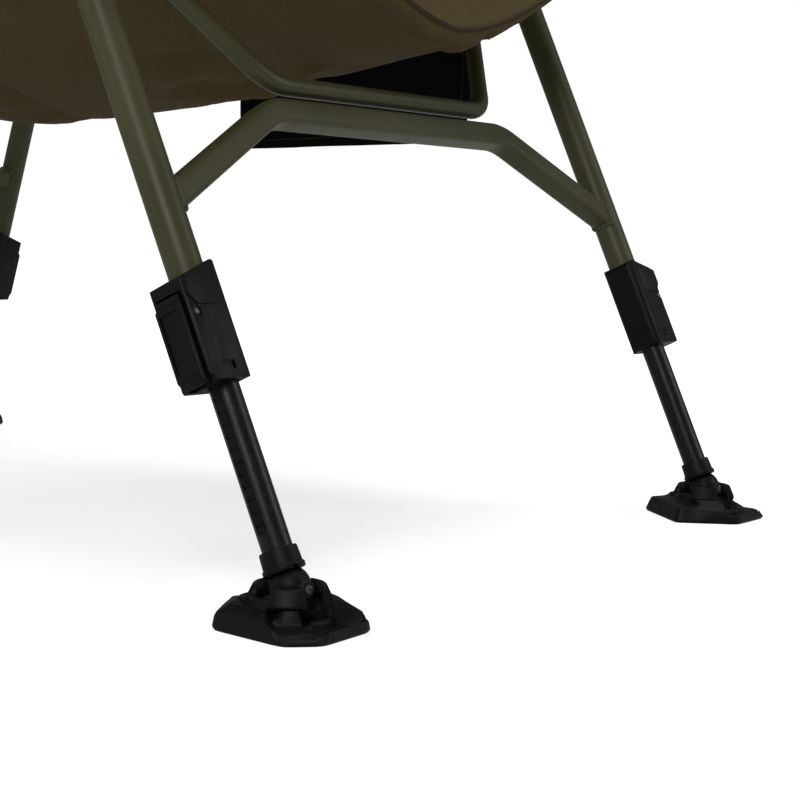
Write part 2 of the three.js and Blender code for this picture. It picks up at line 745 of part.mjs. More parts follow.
const backCushion = { bottom: 56, edge: 15, front: 30, rear: 12, channel: 9, nose: 6 };
const backGrid = { columns: 10, rows: 18, spacing: 6, pull: 0.5 };
const backRound = { side: 4, end: 6 };
const bendStart = backHeight - backBend;
const bendInside = backBend * Math.cos(Math.PI / (4 * bendSteps)) - railTube.radius - touchGap;

// Half the width between the sides of the back tube, which bend inward at the top
function backHalf(height) {
  if (height <= bendStart) return padHalf;
  return railX - backBend + Math.sqrt(Math.max(bendInside ** 2 - (height - bendStart) ** 2, 0));
}

function backPlace(a, share, layer) {
  const b = eased(share, backGrid.pull);
  const inward = 1 - a ** backRound.side;
  const crown = crownShare(a, backRound.side) * crownShare(2 * b - 1, backRound.end);
  const groove = backCushion.channel * channelShare(share, backGrid) * inward;
  const height = lerp(backCushion.bottom, bendStart + bendInside, b);
  const nose = layer === 0 && share === 0 ? backCushion.nose * inward : 0;
  const depths = [backCushion.edge / 2 + backCushion.rear * crown, 0,
    groove - backCushion.edge / 2 - backCushion.front * crown];
  return [a * backHalf(height), depths[layer + 1], height - nose];
}

const pillow = { half: 185, belowTop: 190, height: 128, thickness: 52, edge: 10, drawn: 7, sunk: 0.7 };
const pillowGrid = { columns: 10, rows: 6 };
const pillowRound = { side: 4, end: 2.5 };

function pillowPlace(a, b, layer) {
  const x = a * (pillow.half - pillow.drawn * (1 - (2 * b - 1) ** 2));
  const waist = pillow.drawn * (1 - a ** 2) * (1 - 2 * b);
  const z = backHeight - pillow.belowTop + b * pillow.height + waist;
  const behind = backCushion.edge / 2 + backCushion.front + touchGap - pillow.sunk;
  const crown = pillow.thickness * crownShare(a, pillowRound.side) * crownShare(2 * b - 1, pillowRound.end);
  const depths = [behind, behind + pillow.edge / 2, behind + pillow.edge + crown];
  return [x, -depths[layer + 1], z];
}

// Armrests: a post on each rail, a flat bar back to the backrest, and its pad
const armPad = { start: -22, length: 322, half: 27, edge: 12, crown: 13, drawn: 3, side: 3, end: 6 };
const armGrid = { columns: 4, rows: 10, pull: 0.5 };

function armPost() {
  const tube = pipe(postTube, -postTube.foot, armRise + postTube.head, thinSides);
  const bored = cut(tube, rodX(boltHole, -postTube.radius - overrun, postTube.radius + overrun));
  const pinEnd = -postTube.radius - touchGap - armBar.thickness - touchGap;
  const top = rodX(bolt.radius, pinEnd, 0).translate(0, 0, armRise);
  return join(bored, top).translate(legX, 0, 0);
}

function armBarBody() {
  const outline = new THREE.Shape();
  outline.absarc(armLength, 0, armBar.half, -Math.PI / 2, Math.PI / 2, false);
  outline.absarc(0, 0, armBar.half, Math.PI / 2, 1.5 * Math.PI, false);
  const web = sideSlab(outline, armBar.thickness);
  const { half, flangeThick, flangeHalf, flangeStart, flangeEnd } = armBar;
  const flange = block([-flangeHalf, flangeStart, half - flangeThick], [flangeHalf, flangeEnd, half]);
  const holes = [0, armLength].map((y) => rodX(boltHole, -flangeHalf, flangeHalf).translate(0, y, 0));
  return cut(join(web, flange), ...holes).translate(armBarX, 0, 0);
}

function armPadPlace(a, share, layer) {
  const b = eased(share, armGrid.pull);
  const x = a * (armPad.half - armPad.drawn * (1 - (2 * b - 1) ** 2));
  const crown = armPad.crown * crownShare(a, armPad.side) * crownShare(2 * b - 1, armPad.end);
  const heights = [0, armPad.edge / 2, armPad.edge + crown];
  return [armBarX + x, armPad.start + b * armPad.length, armBar.half + touchGap + heights[layer + 1]];
}

// The seat frame
piece('front_hoop', cut(bentPipe(hoopTube, hoopCorners(), hoop.bend), ...railCutters), paint, rails);
piece('rear_cross_bar', rearCrossBar(), paint, rails);
piece('seat_pad', seatPad(), fabric, rails);
piece('side_pocket', sidePocket(), webbing, rails);

// The backrest
piece('back_frame', backFrame(), paint, back);
piece('back_cross_bar', backCrossBar(), paint, back);
piece('back_pad', padding(backGrid.columns, backGrid.rows, backPlace), fabric, back);
piece('head_pillow', padding(pillowGrid.columns, pillowGrid.rows, pillowPlace), fabric, back);

// What the chair has on each side
for (const [name, side] of Object.entries(sides)) {
  piece(`seat_rail_${name}`, mirrored(seatRail(), side), paint, rails);
  piece(`rail_plug_${name}`, mirrored(railPlug(), side), moulding, rails);
  piece(`back_bracket_${name}`, mirrored(hingeBracket(), side), paint, rails);
  piece(`front_leg_plate_${name}`, mirrored(legPlate(ends.front), side), paint, rails);
  piece(`rear_leg_plate_${name}`, mirrored(legPlate(ends.rear), side), paint, rails);
  const knobShape = mirrored(reclineKnob(), side).translate(0, backPivotAlong, backPivotRise);
  piece(`recline_knob_${name}`, knobShape, moulding, rails);
  piece(`arm_post_${name}`, mirrored(armPost(), side), paint, posts);
  piece(`arm_bar_${name}`, mirrored(armBarBody(), side), paint, arms);
  const armPadShape = padding(armGrid.columns, armGrid.rows, armPadPlace);
  piece(`arm_pad_${name}`, mirrored(armPadShape, side), foam, arms);
}

// The legs and feet
for (const [endName, end] of Object.entries(ends)) {
  piece(`${endName}_brace`, legBrace(end, braces[endName]), paint, end.leg);
  for (const [sideName, side] of Object.entries(sides)) {
    const put = (name, geometry, finish, parent) => {
      const placed = mirrored(geometry, side, end.turn).translate(side * legX, 0, 0);
      piece(`${name}_${endName}_${sideName}`, placed, finish, parent);
    };
    put('leg_tube', outerTube(end), paint, end.leg);
    put('inner_tube', slidingTube(), blackTube, end.leg);
    put('rack', rackStrip(), moulding, end.leg);
    put('lock_housing', lockHousing(), moulding, end.leg);
    put('lock_lever', lockLever(), moulding, end.leg);
    put('foot_collar', footCollar(), moulding, end.leg);
    put('foot_knuckle', footBall(end.lean), moulding, end.ankle);
    put('foot_base', footBase(), moulding, end.ankle);
  }
}

export default chair;
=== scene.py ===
# %% [markdown]
# # A folding carp fishing chair
# The chair stands on four telescopic legs with swivel feet. A padded seat hangs between two
# rails, and a padded back reclines behind it. The frame's places come from a finished solid
# model, so this lesson makes the surfaces, seams and finishes that the model leaves out.

import math

import bmesh
import bpy
import numpy as np
from mathutils import Matrix


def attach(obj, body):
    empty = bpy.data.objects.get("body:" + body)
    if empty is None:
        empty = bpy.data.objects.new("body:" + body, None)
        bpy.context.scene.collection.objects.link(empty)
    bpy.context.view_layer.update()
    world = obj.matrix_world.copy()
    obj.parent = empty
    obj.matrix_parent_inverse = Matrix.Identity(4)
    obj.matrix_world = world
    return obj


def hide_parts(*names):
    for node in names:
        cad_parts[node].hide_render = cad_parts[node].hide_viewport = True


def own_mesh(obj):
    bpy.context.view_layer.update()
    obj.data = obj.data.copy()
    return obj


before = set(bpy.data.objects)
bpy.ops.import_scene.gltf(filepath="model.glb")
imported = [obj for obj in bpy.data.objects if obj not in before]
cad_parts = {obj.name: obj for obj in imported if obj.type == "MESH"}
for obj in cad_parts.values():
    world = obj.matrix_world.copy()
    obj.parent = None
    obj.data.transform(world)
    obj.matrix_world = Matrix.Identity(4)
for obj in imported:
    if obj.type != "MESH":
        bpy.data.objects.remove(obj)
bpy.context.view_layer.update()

# %% [markdown]
# ## Camera
# The camera's place was worked out from the feet, the locks and the tubes in the photograph.
# It looks from the front right, low down, through a long lens. Its axes are found from the
# yaw, pitch and roll, and a camera looks along its own minus Z.

# %% Camera
def unit(v):
    """The vector, or each row of vectors, divided by its length."""
    v = np.asarray(v, float)
    return v / np.linalg.norm(v, axis=-1, keepdims=True)


def stand(item, x_axis, y_axis, z_axis, place):
    """Puts an object in the scene, at a place and along three axes."""
    bpy.context.scene.collection.objects.link(item)
    pose = np.eye(4)
    pose[:3] = np.stack([x_axis, y_axis, z_axis, place], -1)
    item.matrix_world = Matrix(pose.tolist())


yaw, pitch, roll = np.radians([55.953, -5.525, 1.727])
sensor_width, focal_pixels, picture_pixels = 36, 1817.9, 800
ahead = np.array([math.sin(yaw) * math.cos(pitch), math.cos(yaw) * math.cos(pitch), math.sin(pitch)])
level = np.array([math.cos(yaw), -math.sin(yaw), 0.0])
over = np.cross(level, ahead)
right = level * math.cos(roll) + over * math.sin(roll)
upright = over * math.cos(roll) - level * math.sin(roll)

camera = bpy.data.objects.new("camera", bpy.data.cameras.new("camera"))
stand(camera, right, upright, -ahead, (-1.2118, -1.1794, 0.2572))
camera.data.sensor_width = sensor_width
camera.data.lens = sensor_width * focal_pixels / picture_pixels
camera.data.clip_start = 0.01
bpy.context.scene.camera = camera
print("lens", round(camera.data.lens, 2), "mm")

# %% [markdown]
# ## Places
# Every leg, the seat rails and the backrest lean in their own direction. Each gets a frame
# with an origin and a tilt about X, in millimetres, and shapes are worked out in that frame
# and then put into the chair. The numbers repeat those of the solid model.

# %% Places
class Place:
    """A frame tilted about X: point = origin + x X + y Y' + z Z', with Y' and Z' turned by tilt."""

    def __init__(self, origin, tilt):
        self.origin = np.array(origin, float)
        c, s = math.cos(tilt), math.sin(tilt)
        self.axes = np.array([[1, 0, 0], [0, c, s], [0, -s, c]])

    def out(self, points):
        """Points of this frame in the chair, in millimetres."""
        return np.asarray(points, float) @ self.axes + self.origin

    def direction(self, v):
        """A direction of this frame in the chair."""
        return np.asarray(v, float) @ self.axes

    def inner(self, origin, tilt=0.0):
        """A frame placed in this one and tilted further."""
        made = Place(self.out(origin), 0)
        made.axes = Place((0, 0, 0), tilt).axes @ self.axes
        return made


foot_span, leg_x, ankle_z = 979.0, 309.0, 26.6
front_lean, rear_lean, slope = math.radians(25.03), math.radians(16.7), math.radians(7.4)
front_reach = 534.5
pivot_y = -foot_span / 2 + front_reach * math.sin(front_lean)
pivot_z = ankle_z + front_reach * math.cos(front_lean)
run, fall = foot_span / 2 - pivot_y, pivot_z - ankle_z
rear_along = (run * math.cos(rear_lean) - fall * math.sin(rear_lean)) / math.cos(slope + rear_lean)
rear_reach = (fall * math.cos(slope) - run * math.sin(slope)) / math.cos(slope + rear_lean)
back_tilt = slope - math.radians(32)
back_along, back_rise, back_height, post_forward, arm_rise = 378.0, 38.0, 690.0, 77.0, 185.0

rails = Place((0, pivot_y, pivot_z), -slope)
back = rails.inner((0, back_along, back_rise), back_tilt)
posts = rails.inner((0, -post_forward, 0), back_tilt)
arm_pitch = math.atan2(back_rise, back_along + post_forward)
post_top = (0, -post_forward - arm_rise * math.sin(back_tilt), arm_rise * math.cos(back_tilt))
arms = rails.inner(post_top, arm_pitch)
legs = {
    "front": Place((0, -foot_span / 2, ankle_z), -front_lean),
    "rear": Place((0, foot_span / 2, ankle_z), rear_lean),
}
ankles = {end: Place(leg.origin, 0) for end, leg in legs.items()}
turns = {"front": 1, "rear": -1}
reaches = {"front": front_reach, "rear": rear_reach}
sides = {"left": 1, "right": -1}
# Each leg: its end, its corner's name, and how a shape of the front left leg is mirrored for it
corners = [
    (end, f"{end}_{name}", dict(x=side * leg_x, across=side, fore=turn))
    for end, turn in turns.items() for name, side in sides.items()
]
rail_x, rail_radius, leg_radius, bar_radius, hoop_radius, post_radius = 280.9, 11.0, 12.5, 8, 7.4, 9
wall = 1.5
print("leg pivots at", np.round(rails.out([[0, 0, 0], [0, rear_along, 0]])))

# %% [markdown]
# ## Meshes from arrays
# A surface is a grid of points, so its faces are found from the grid's rows and columns. A
# tube is a profile carried along a path, and a turned shape is a profile spun round an axis.
# All of these are computed as whole arrays and handed to the mesh in one call.

# %% Meshes from arrays
def grid_faces(rows, columns, close_rows=False, close_columns=False):
    """Quads between neighbours i, i+1 of each row and j, j+1 of each column of a grid."""
    i = np.arange(rows if close_rows else rows - 1)[:, None]
    j = np.arange(columns if close_columns else columns - 1)[None, :]
    i2, j2 = (i + 1) % rows, (j + 1) % columns
    corner = [i * columns + j, i * columns + j2, i2 * columns + j2, i2 * columns + j]
    return np.stack(corner, -1).reshape(-1, 4)


def end_faces(rows, columns):
    """The first and the last row of a grid, each as one face."""
    return [list(range(columns))[::-1], list(range((rows - 1) * columns, rows * columns))]


def merge(*parts):
    """Several (points, faces) put in one, with each later part's indices moved up."""
    points, faces, start = [], [], 0
    for p, f in parts:
        points.append(np.asarray(p, float).reshape(-1, 3))
        faces += [[k + start for k in face] for face in f]
        start += len(points[-1])
    return np.concatenate(points), faces


def swept(path, profile, up, close=False, caps=True):
    """A profile carried along a path: point = path + p side + q up', with side = tangent x up."""
    path, profile = np.asarray(path, float), np.asarray(profile, float)
    if close:
        tangent = np.roll(path, -1, 0) - np.roll(path, 1, 0)
    else:
        tangent = np.gradient(path, axis=0)
    tangent = unit(tangent)
    side = unit(np.cross(tangent, np.broadcast_to(up, tangent.shape)))
    lift = np.cross(side, tangent)
    points = path[:, None] + profile[None, :, :1] * side[:, None] + profile[None, :, 1:] * lift[:, None]
    n, k = len(path), len(profile)
    faces = grid_faces(n, k, close, True).tolist()
    if not close and caps:
        faces += end_faces(n, k)
    return points.reshape(-1, 3), faces


def ring(radius, count=40):
    """A circle: (radius cos t, radius sin t)."""
    t = np.linspace(0, 2 * np.pi, count, endpoint=False)
    return np.stack([radius * np.cos(t), radius * np.sin(t)], -1)


def turned(profile, axis=2, count=40, closed=False):
    """A profile of (radius, height) spun round an axis, with flat ends or closed on itself."""
    profile = np.asarray(profile, float)
    t = np.linspace(0, 2 * np.pi, count, endpoint=False)[None, :]
    r, h = profile[:, :1], profile[:, 1:] + 0 * t
    points = np.stack([r * np.cos(t), r * np.sin(t), h], -1)
    points = np.roll(points, axis - 2, axis=-1).reshape(-1, 3)
    faces = grid_faces(len(profile), count, closed, True).tolist()
    return points, faces if closed else faces + end_faces(len(profile), count)


def prism(outline, low, high):
    """A flat outline in X and Y between two heights."""
    outline = np.asarray(outline, float)
    k = len(outline)
    points = np.concatenate([np.c_[outline, np.full(k, h)] for h in (low, high)])
    return points, grid_faces(2, k, False, True).tolist() + end_faces(2, k)


def slab(outline, low, high):
    """A flat outline in X and Z between two places along Y."""
    points, faces = prism(outline, low, high)
    return points[:, [0, 2, 1]], faces


def box(low, high):
    """A box between two corners."""
    x0, y0, z0 = low
    x1, y1, z1 = high
    return prism([(x0, y0), (x1, y0), (x1, y1), (x0, y1)], z0, z1)


def straight(start, end, pieces=12):
    """Evenly spaced points on a straight line."""
    return np.linspace(start, end, pieces + 1)


def bent(points, radius, steps):
    """A path through points, each inner one an arc: centre - r n cos t + r d sin t."""
    points = np.asarray(points, float)
    path = [points[:1]]
    for before, corner, after in zip(points[:-2], points[1:-1], points[2:]):
        into, out = unit(corner - before), unit(after - corner)
        turn = math.acos(float(np.clip(into @ out, -1, 1)))
        inward = unit(out - into * (into @ out))
        start = corner - into * radius * math.tan(turn / 2)
        t = np.linspace(0, turn, steps + 1)[:, None]
        path.append(start + inward * radius * (1 - np.cos(t)) + into * radius * np.sin(t))
    return np.concatenate(path + [points[-1:]])


def walled(outer, inner, keep):
    """Two matching grids, closed round, with faces only where keep is true and walls at its edges."""
    rows, columns = outer.shape[:2]
    count = rows * columns
    skin = grid_faces(rows, columns, False, True)[keep.ravel()]
    faces = [skin, skin[:, ::-1] + count]
    padded = np.zeros((rows + 1, columns), bool)
    padded[1:-1] = keep
    edges = (
        (padded[1:-1] & ~padded[2:], (1, 0), (1, 1)), (padded[1:-1] & ~padded[:-2], (0, 1), (0, 0)),
        (keep & ~np.roll(keep, -1, 1), (0, 1), (1, 1)), (keep & ~np.roll(keep, 1, 1), (1, 0), (0, 0)),
    )
    for bare, *ends in edges:
        i, j = np.nonzero(bare)
        p, q = ((i + down) * columns + (j + on) % columns for down, on in ends)
        faces.append(np.stack([q, p, p + count, q + count], -1))
    return np.concatenate([outer.reshape(-1, 3), inner.reshape(-1, 3)]), np.concatenate(faces).tolist()


def tube(path, radius, up, count=36):
    """A hollow tube: the outer skin, the bore, and a flat ring at each end."""
    skins = [swept(path, ring(r, count), up, caps=False)[0] for r in (radius, radius - wall)]
    n = len(path)
    return walled(*(skin.reshape(n, count, 3) for skin in skins), np.ones((n - 1, count), bool))


# %% [markdown]
# ## From arrays to pieces
# A piece is made in millimetres in its own frame, mirrored for the other corners, placed, and
# handed to Blender in metres. Its object stays at the origin. Soft rounding of hard edges
# comes from a Bevel modifier, and cuts come from Boolean modifiers that are applied at once.

# %% Pieces
def new_object(name, part, smooth=30):
    """A mesh object from (points in metres, faces), smooth except across sharp edges."""
    points, faces = part
    mesh = bpy.data.meshes.new(name)
    mesh.from_pydata(np.asarray(points, float).tolist(), [], [list(map(int, f)) for f in faces])
    mesh.update()
    made = bmesh.new()
    made.from_mesh(mesh)
    bmesh.ops.remove_doubles(made, verts=made.verts, dist=1e-7)
    bmesh.ops.recalc_face_normals(made, faces=made.faces)
    made.to_mesh(mesh)
    made.free()
    mesh.shade_smooth()
    if smooth:
        mesh.set_sharp_from_angle(angle=math.radians(smooth))
    item = bpy.data.objects.new(name, mesh)
    bpy.context.scene.collection.objects.link(item)
    return item


def settled(item):
    """The points and faces that an object has once its modifiers are applied."""
    bpy.context.view_layer.update()
    mesh = item.evaluated_get(bpy.context.evaluated_depsgraph_get()).to_mesh()
    points = np.zeros(len(mesh.vertices) * 3)
    mesh.vertices.foreach_get("co", points)
    return points.reshape(-1, 3), [list(p.vertices) for p in mesh.polygons]


def rounded(item, width, angle):
    """Adds a Bevel modifier to edges sharper than an angle."""
    change = item.modifiers.new("round", "BEVEL")
    change.width, change.segments, change.limit_method = width / 1000, 2, "ANGLE"
    change.angle_limit = math.radians(angle)


def shaped(part, cutters, bevel):
    """A solid with cutters taken away and its hard edges rounded, as plain arrays."""
    body, *tools = [new_object("shaping", (np.asarray(p) / 1000, f), 0) for p, f in (part, *cutters)]
    for tool in tools:
        change = body.modifiers.new("cut", "BOOLEAN")
        change.object, change.operation, change.solver = tool, "DIFFERENCE", "EXACT"
    rounded(body, bevel, 30)
    points, faces = settled(body)
    for helper in (body, *tools):
        bpy.data.objects.remove(helper)
    return points * 1000, faces


def placed(part, place, x=0.0, across=1, fore=1):
    """A shape mirrored for its corner, moved along X, put in its frame and turned to metres."""
    points, faces = part
    points = np.asarray(points, float) * [across, fore, 1] + [x, 0, 0]
    if across * fore < 0:
        faces = [list(f)[::-1] for f in faces]
    return place.out(points) / 1000, faces


def piece(name, part, body, look, node=None, smooth=30):
    """A finished piece that rides on a body, wears a look and may stand for a solid."""
    item = new_object(name, part, smooth)
    item.data.materials.append(look.material)
    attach(item, body)
    if node:
        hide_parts(node)
    return item


# %% [markdown]
# ## Shader maths
# A finish is a small sum: a tone plus some noise. Wrapping a node's output in a class lets that sum be
# written as Python, and each operator adds one Math node.

# %% Shader maths
class Wire:
    """One output of a node. Python's operators on it add Math nodes."""

    def __init__(self, tree, socket):
        self.tree, self.socket = tree, socket

    def math(self, operation, *others):
        """This wire, with any others, through one Math node."""
        node = self.tree.nodes.new("ShaderNodeMath")
        node.operation = operation
        for socket, value in zip(node.inputs, (self, *others)):
            feed(self.tree, socket, value)
        return Wire(self.tree, node.outputs[0])

    def __add__(self, other):
        return self.math("ADD", other)

    def __mul__(self, other):
        return self.math("MULTIPLY", other)


def feed(tree, socket, value):
    """Links a wire to a socket, or sets the socket's own value."""
    if isinstance(value, Wire):
        tree.links.new(value.socket, socket)
    else:
        socket.default_value = value


def tone(colour):
    """A colour as seen on screen, from 0 to 255, turned to the linear values that shaders use."""
    v = np.array(colour) / 255
    return tuple(float(x) for x in np.where(v <= 0.04045, v / 12.92, ((v + 0.055) / 1.055) ** 2.4))


class Finish:
    """A material with one Principled shader, its slot, and a method that adds any other node."""

    def __init__(self, name, slot, roughness, **fixed):
        self.material = bpy.data.materials.new(name)
        self.material.use_nodes = True
        self.slot = slot
        self.tree = self.material.node_tree
        self.shader = self.tree.nodes["Principled BSDF"]
        self.set(Roughness=roughness, **fixed)

    def set(self, **values):
        """Feeds inputs of the shader, named with underscores for their spaces."""
        for name, value in values.items():
            feed(self.tree, self.shader.inputs[name.replace("_", " ")], value)

    def add(self, kind, inputs=None, output=0, **settings):
        """Any node: its settings first and then its inputs."""
        node = self.tree.nodes.new("ShaderNode" + kind)
        for name, value in settings.items():
            setattr(node, name, value)
        for name, value in (inputs or {}).items():
            feed(self.tree, node.inputs[name], value)
        return Wire(self.tree, node.outputs[output])

    def place(self):
        """The point of the object that is shaded."""
        return self.add("TexCoord", output="Object")

    def noise(self, scale, detail=2.0, rough=0.5, at=None):
        """Noise from 0 to 1."""
        inputs = {"Vector": at or self.place(), "Scale": scale, "Detail": detail, "Roughness": rough}
        return self.add("TexNoise", inputs)

    def span(self, value, low, high, to_low=0.0, to_high=1.0):
        """A value's range low to high stretched to another range, and held at its ends."""
        inputs = {"Value": value, "From Min": low, "From Max": high, "To Min": to_low, "To Max": to_high}
        return self.add("MapRange", inputs)

    def mixed(self, share, first, second):
        """A colour between two, by a share from 0 to 1."""
        return self.add("Mix", {0: share, 6: (*first, 1), 7: (*second, 1)}, output=2, data_type="RGBA")

    def tones(self, share, dark, light):
        """Base Color between two tones as seen on screen."""
        self.set(Base_Color=self.mixed(share, tone(dark), tone(light)))

    def relief(self, height, distance, strength):
        """A bump from a height, in metres from 0 to 1 of its value."""
        self.set(Normal=self.add("Bump", {"Height": height, "Distance": distance, "Strength": strength}))


# %% [markdown]
# ## Finishes of the hard parts
# The frame is powder-coated olive: a satin skin with a faint orange peel and slightly uneven
# tone. The mouldings are black nylon with a fine grain, and the inner tubes are black, with
# faint lines along them where they slide in the locks.

# %% Paint and mouldings
paint = Finish("olive_powder_coat", "frame_paint", 0.4, Specular_IOR_Level=0.2)
patch = paint.noise(14.0, 3.0)
fleck = paint.noise(900.0, 1.0)
paint.tones(paint.span(patch, 0.35, 0.65), (61, 60, 38), (69, 68, 45))
paint.set(Roughness=paint.span(patch + fleck * 0.3, 0.4, 0.9, 0.36, 0.47))
paint.relief(fleck, 0.00004, 0.5)

weld_paint = Finish("olive_weld", "frame_paint", 0.45, Specular_IOR_Level=0.2)
weld_paint.tones(weld_paint.noise(300.0), (58, 57, 36), (72, 71, 47))
weld_paint.relief(weld_paint.noise(700.0, 3.0), 0.0004, 0.8)

nylon = Finish("black_moulding", "moulding", 0.45, Specular_IOR_Level=0.14)
grain = nylon.noise(2200.0)
cloud = nylon.noise(40.0, 3.0)
nylon.tones(nylon.span(cloud, 0.3, 0.7), (4, 4, 3), (9, 9, 8))
nylon.set(Roughness=nylon.span(cloud + grain * 0.4, 0.4, 1.0, 0.4, 0.56))
nylon.relief(grain, 0.00005, 0.6)

black_paint = Finish("black_inner_tube", "black_tube", 0.34, Specular_IOR_Level=0.22)
stretched = black_paint.add("Mapping", {"Vector": black_paint.place(), "Scale": (700.0, 700.0, 12.0)})
lines = black_paint.noise(1.0, at=stretched)
black_paint.tones(black_paint.span(lines, 0.45, 0.75), (9, 9, 9), (20, 20, 19))
black_paint.set(Roughness=black_paint.span(lines, 0.3, 0.7, 0.28, 0.44))
black_paint.relief(lines, 0.00002, 0.4)

steel = Finish("dark_steel", "moulding", 0.35, Metallic=0.9)
steel.tones(steel.noise(400.0), (70, 70, 68), (96, 96, 92))
steel.set(Roughness=steel.span(steel.noise(900.0), 0.3, 0.7, 0.28, 0.45))
print(len(bpy.data.materials), "hard finishes")

# %% [markdown]
# ## Finishes of the soft parts
# The seat cloth is a brown-olive polyester with a canvas weave, so two waves cross at the
# thread's width. The tone drifts a little, as dyed cloth does. The black panel is a plainer
# webbing cloth, the bindings are ribbed tape, and the armrests are moulded foam.

# %% Cloth and foam
def woven(name, slot, thread_width, dark, light, roughness, depth, specular):
    """Canvas: sin(pi u / thread) sin(pi v / thread) over the flat cloth, with slubs and a haze."""
    cloth = Finish(name, slot, roughness, Specular_IOR_Level=specular)
    flat = cloth.add("TexCoord", output="UV")
    pitch = math.pi / thread_width
    warp, weft = ((cloth.add("SeparateXYZ", {0: flat}, output=k) * pitch).math("SINE") for k in (0, 1))
    checker = warp * weft
    slub = cloth.noise(700.0)
    haze = cloth.noise(18.0, 4.0, 0.6)
    cloth.tones(cloth.span(checker * 0.5 + slub * 0.8 + haze * 0.5, 0.1, 1.2), dark, light)
    cloth.set(Roughness=cloth.span(haze, 0.3, 0.7, roughness - 0.06, roughness + 0.06))
    cloth.relief(checker * 0.5 + slub * 0.5, depth, 0.7)
    return cloth


seat_cloth = woven("seat_cloth", "fabric", 0.0007, (65, 56, 33), (83, 72, 46), 0.88, 0.0002, 0.12)
panel_cloth = woven("black_panel_cloth", "panel", 0.0009, (7, 6, 6), (15, 13, 13), 0.82, 0.0002, 0.1)
binding = woven("binding_tape", "fabric", 0.0012, (48, 42, 26), (64, 56, 36), 0.85, 0.0004, 0.12)
thread = Finish("stitch_thread", "fabric", 0.7)
thread.tones(thread.noise(900.0), (44, 38, 25), (60, 52, 35))

foam = Finish("black_foam", "arm_foam", 0.75)
pores = foam.add("TexVoronoi", {"Vector": foam.place(), "Scale": 900.0})
foam.tones(foam.noise(30.0, 3.0), (14, 14, 13), (22, 22, 21))
foam.relief(foam.span(pores, 0.0, 0.5), 0.00012, 0.6)
print(len(bpy.data.materials), "finishes")

# %% [markdown]
# ## Feet
# Each foot is a moulded base with six sides, like a triangle with its corners cut off. It
# rises to a cup with an ear at each corner that holds the ball, and the front side has a
# pocket that lets the ball's screw swing down. A profile runs from the ground edge up over the
# base and into the cup, and it changes as it goes round: one profile at the nose and one for
# its neck, one at the other corners, one at the sides and one in the pocket, blended by the
# angle.

# %% Foot base
def step(value, low, high):
    """0 below low, 1 above high, and 3t^2 - 2t^3 between them."""
    t = np.clip((np.asarray(value, float) - low) / (high - low), 0, 1)
    return t * t * (3 - 2 * t)


def gap(angle, centre):
    """The unsigned difference between angles, in degrees."""
    return np.abs((angle - centre + 180) % 360 - 180)


# The outline's six sides: the angle that each faces, from outward towards the chair's middle,
# and its distance
base_sides = [(8, 42.0), (62, 47.0), (138, 42.0), (213, 47.0), (268, 48.0), (315, 54.4)]
base_roundness = 26
ear_angles, lobe_turns = (-34, 86, 206), (-11, -26, 16)
pocket_angle, pocket_turn = -94, -4


def outline_reach(angle):
    """Reach of the rounded outline: (sum of (max(cos) / distance)^26)^(-1/26)."""
    facing = ((np.maximum(np.cos(np.radians(angle - a)), 0) / d) ** base_roundness for a, d in base_sides)
    return sum(facing) ** (-1 / base_roundness)


# Low stations turn from the ears' directions to those of the base's corners
swing = np.array([1, 1, 1, 1, 1, 1, 0.6, 0.2, 0, 0, 0, 0, 0, 0, 0, 0])

# Each row is a station: share of the outline's reach, added millimetres, height over the ground
corner_rows = [
    (0.6, 0, 0), (0.965, 0, 0), (1, 0, 2.4), (0.985, 0, 8.2), (0.945, 0, 11.4), (0.8, 0, 15.6),
    (0, 33, 19.0), (0, 27.6, 18.8), (0, 28, 19.4), (0, 23.7, 28.4), (0, 22.9, 29.2), (0, 21.2, 29.2),
    (0, 20.3, 28.2), (0, 19.9, 17), (0, 13.5, 11), (0, 0.4, 9.4),
]
side_rows = [
    (0.6, 0, 0), (0.965, 0, 0), (1, 0, 1.8), (1, -3.2, 9.0), (1, -5.4, 13.4), (0, 30.6, 15.4),
    (0, 28.6, 15.8), (0, 27.0, 15.9), (0, 26.2, 16.8), (0, 24.9, 20.6), (0, 24.1, 21.4), (0, 21.6, 21.4),
    (0, 20.9, 20.5), (0, 19.9, 15), (0, 13.5, 11), (0, 0.4, 9.4),
]
pocket_rows = [
    (0.6, 0, 0), (0.965, 0, 0), (1, 0, 1.8), (1, -1.0, 6.6), (1, -2.0, 7.6), (1, -3.6, 7.2),
    (1, -4.4, 3.0), (0, 30.0, 2.6), (0, 28.9, 7.6), (0, 27.8, 9.0), (0, 25.6, 9.0), (0, 24.4, 8.0),
    (0, 23.6, 4.2), (0, 19, 3.4), (0, 13, 3.4), (0, 0.4, 3.4),
]
nose_rows = [
    (0.6, 0, 0), (0.965, 0, 0), (1, 0, 2.0), (0.985, 0, 3.2), (0.95, 0, 3.8), (0.9, 0, 5.2),
    (0, 33, 6.0), (0, 24.2, 8.4), (0, 28, 18.4),
] + corner_rows[9:]
neck_only = [(0.945, 0, 4.0), (0.92, 0, 7.0), (0, 30.5, 8.4), (0, 25.8, 16.6)]
neck_rows = nose_rows[:4] + neck_only + nose_rows[8:]
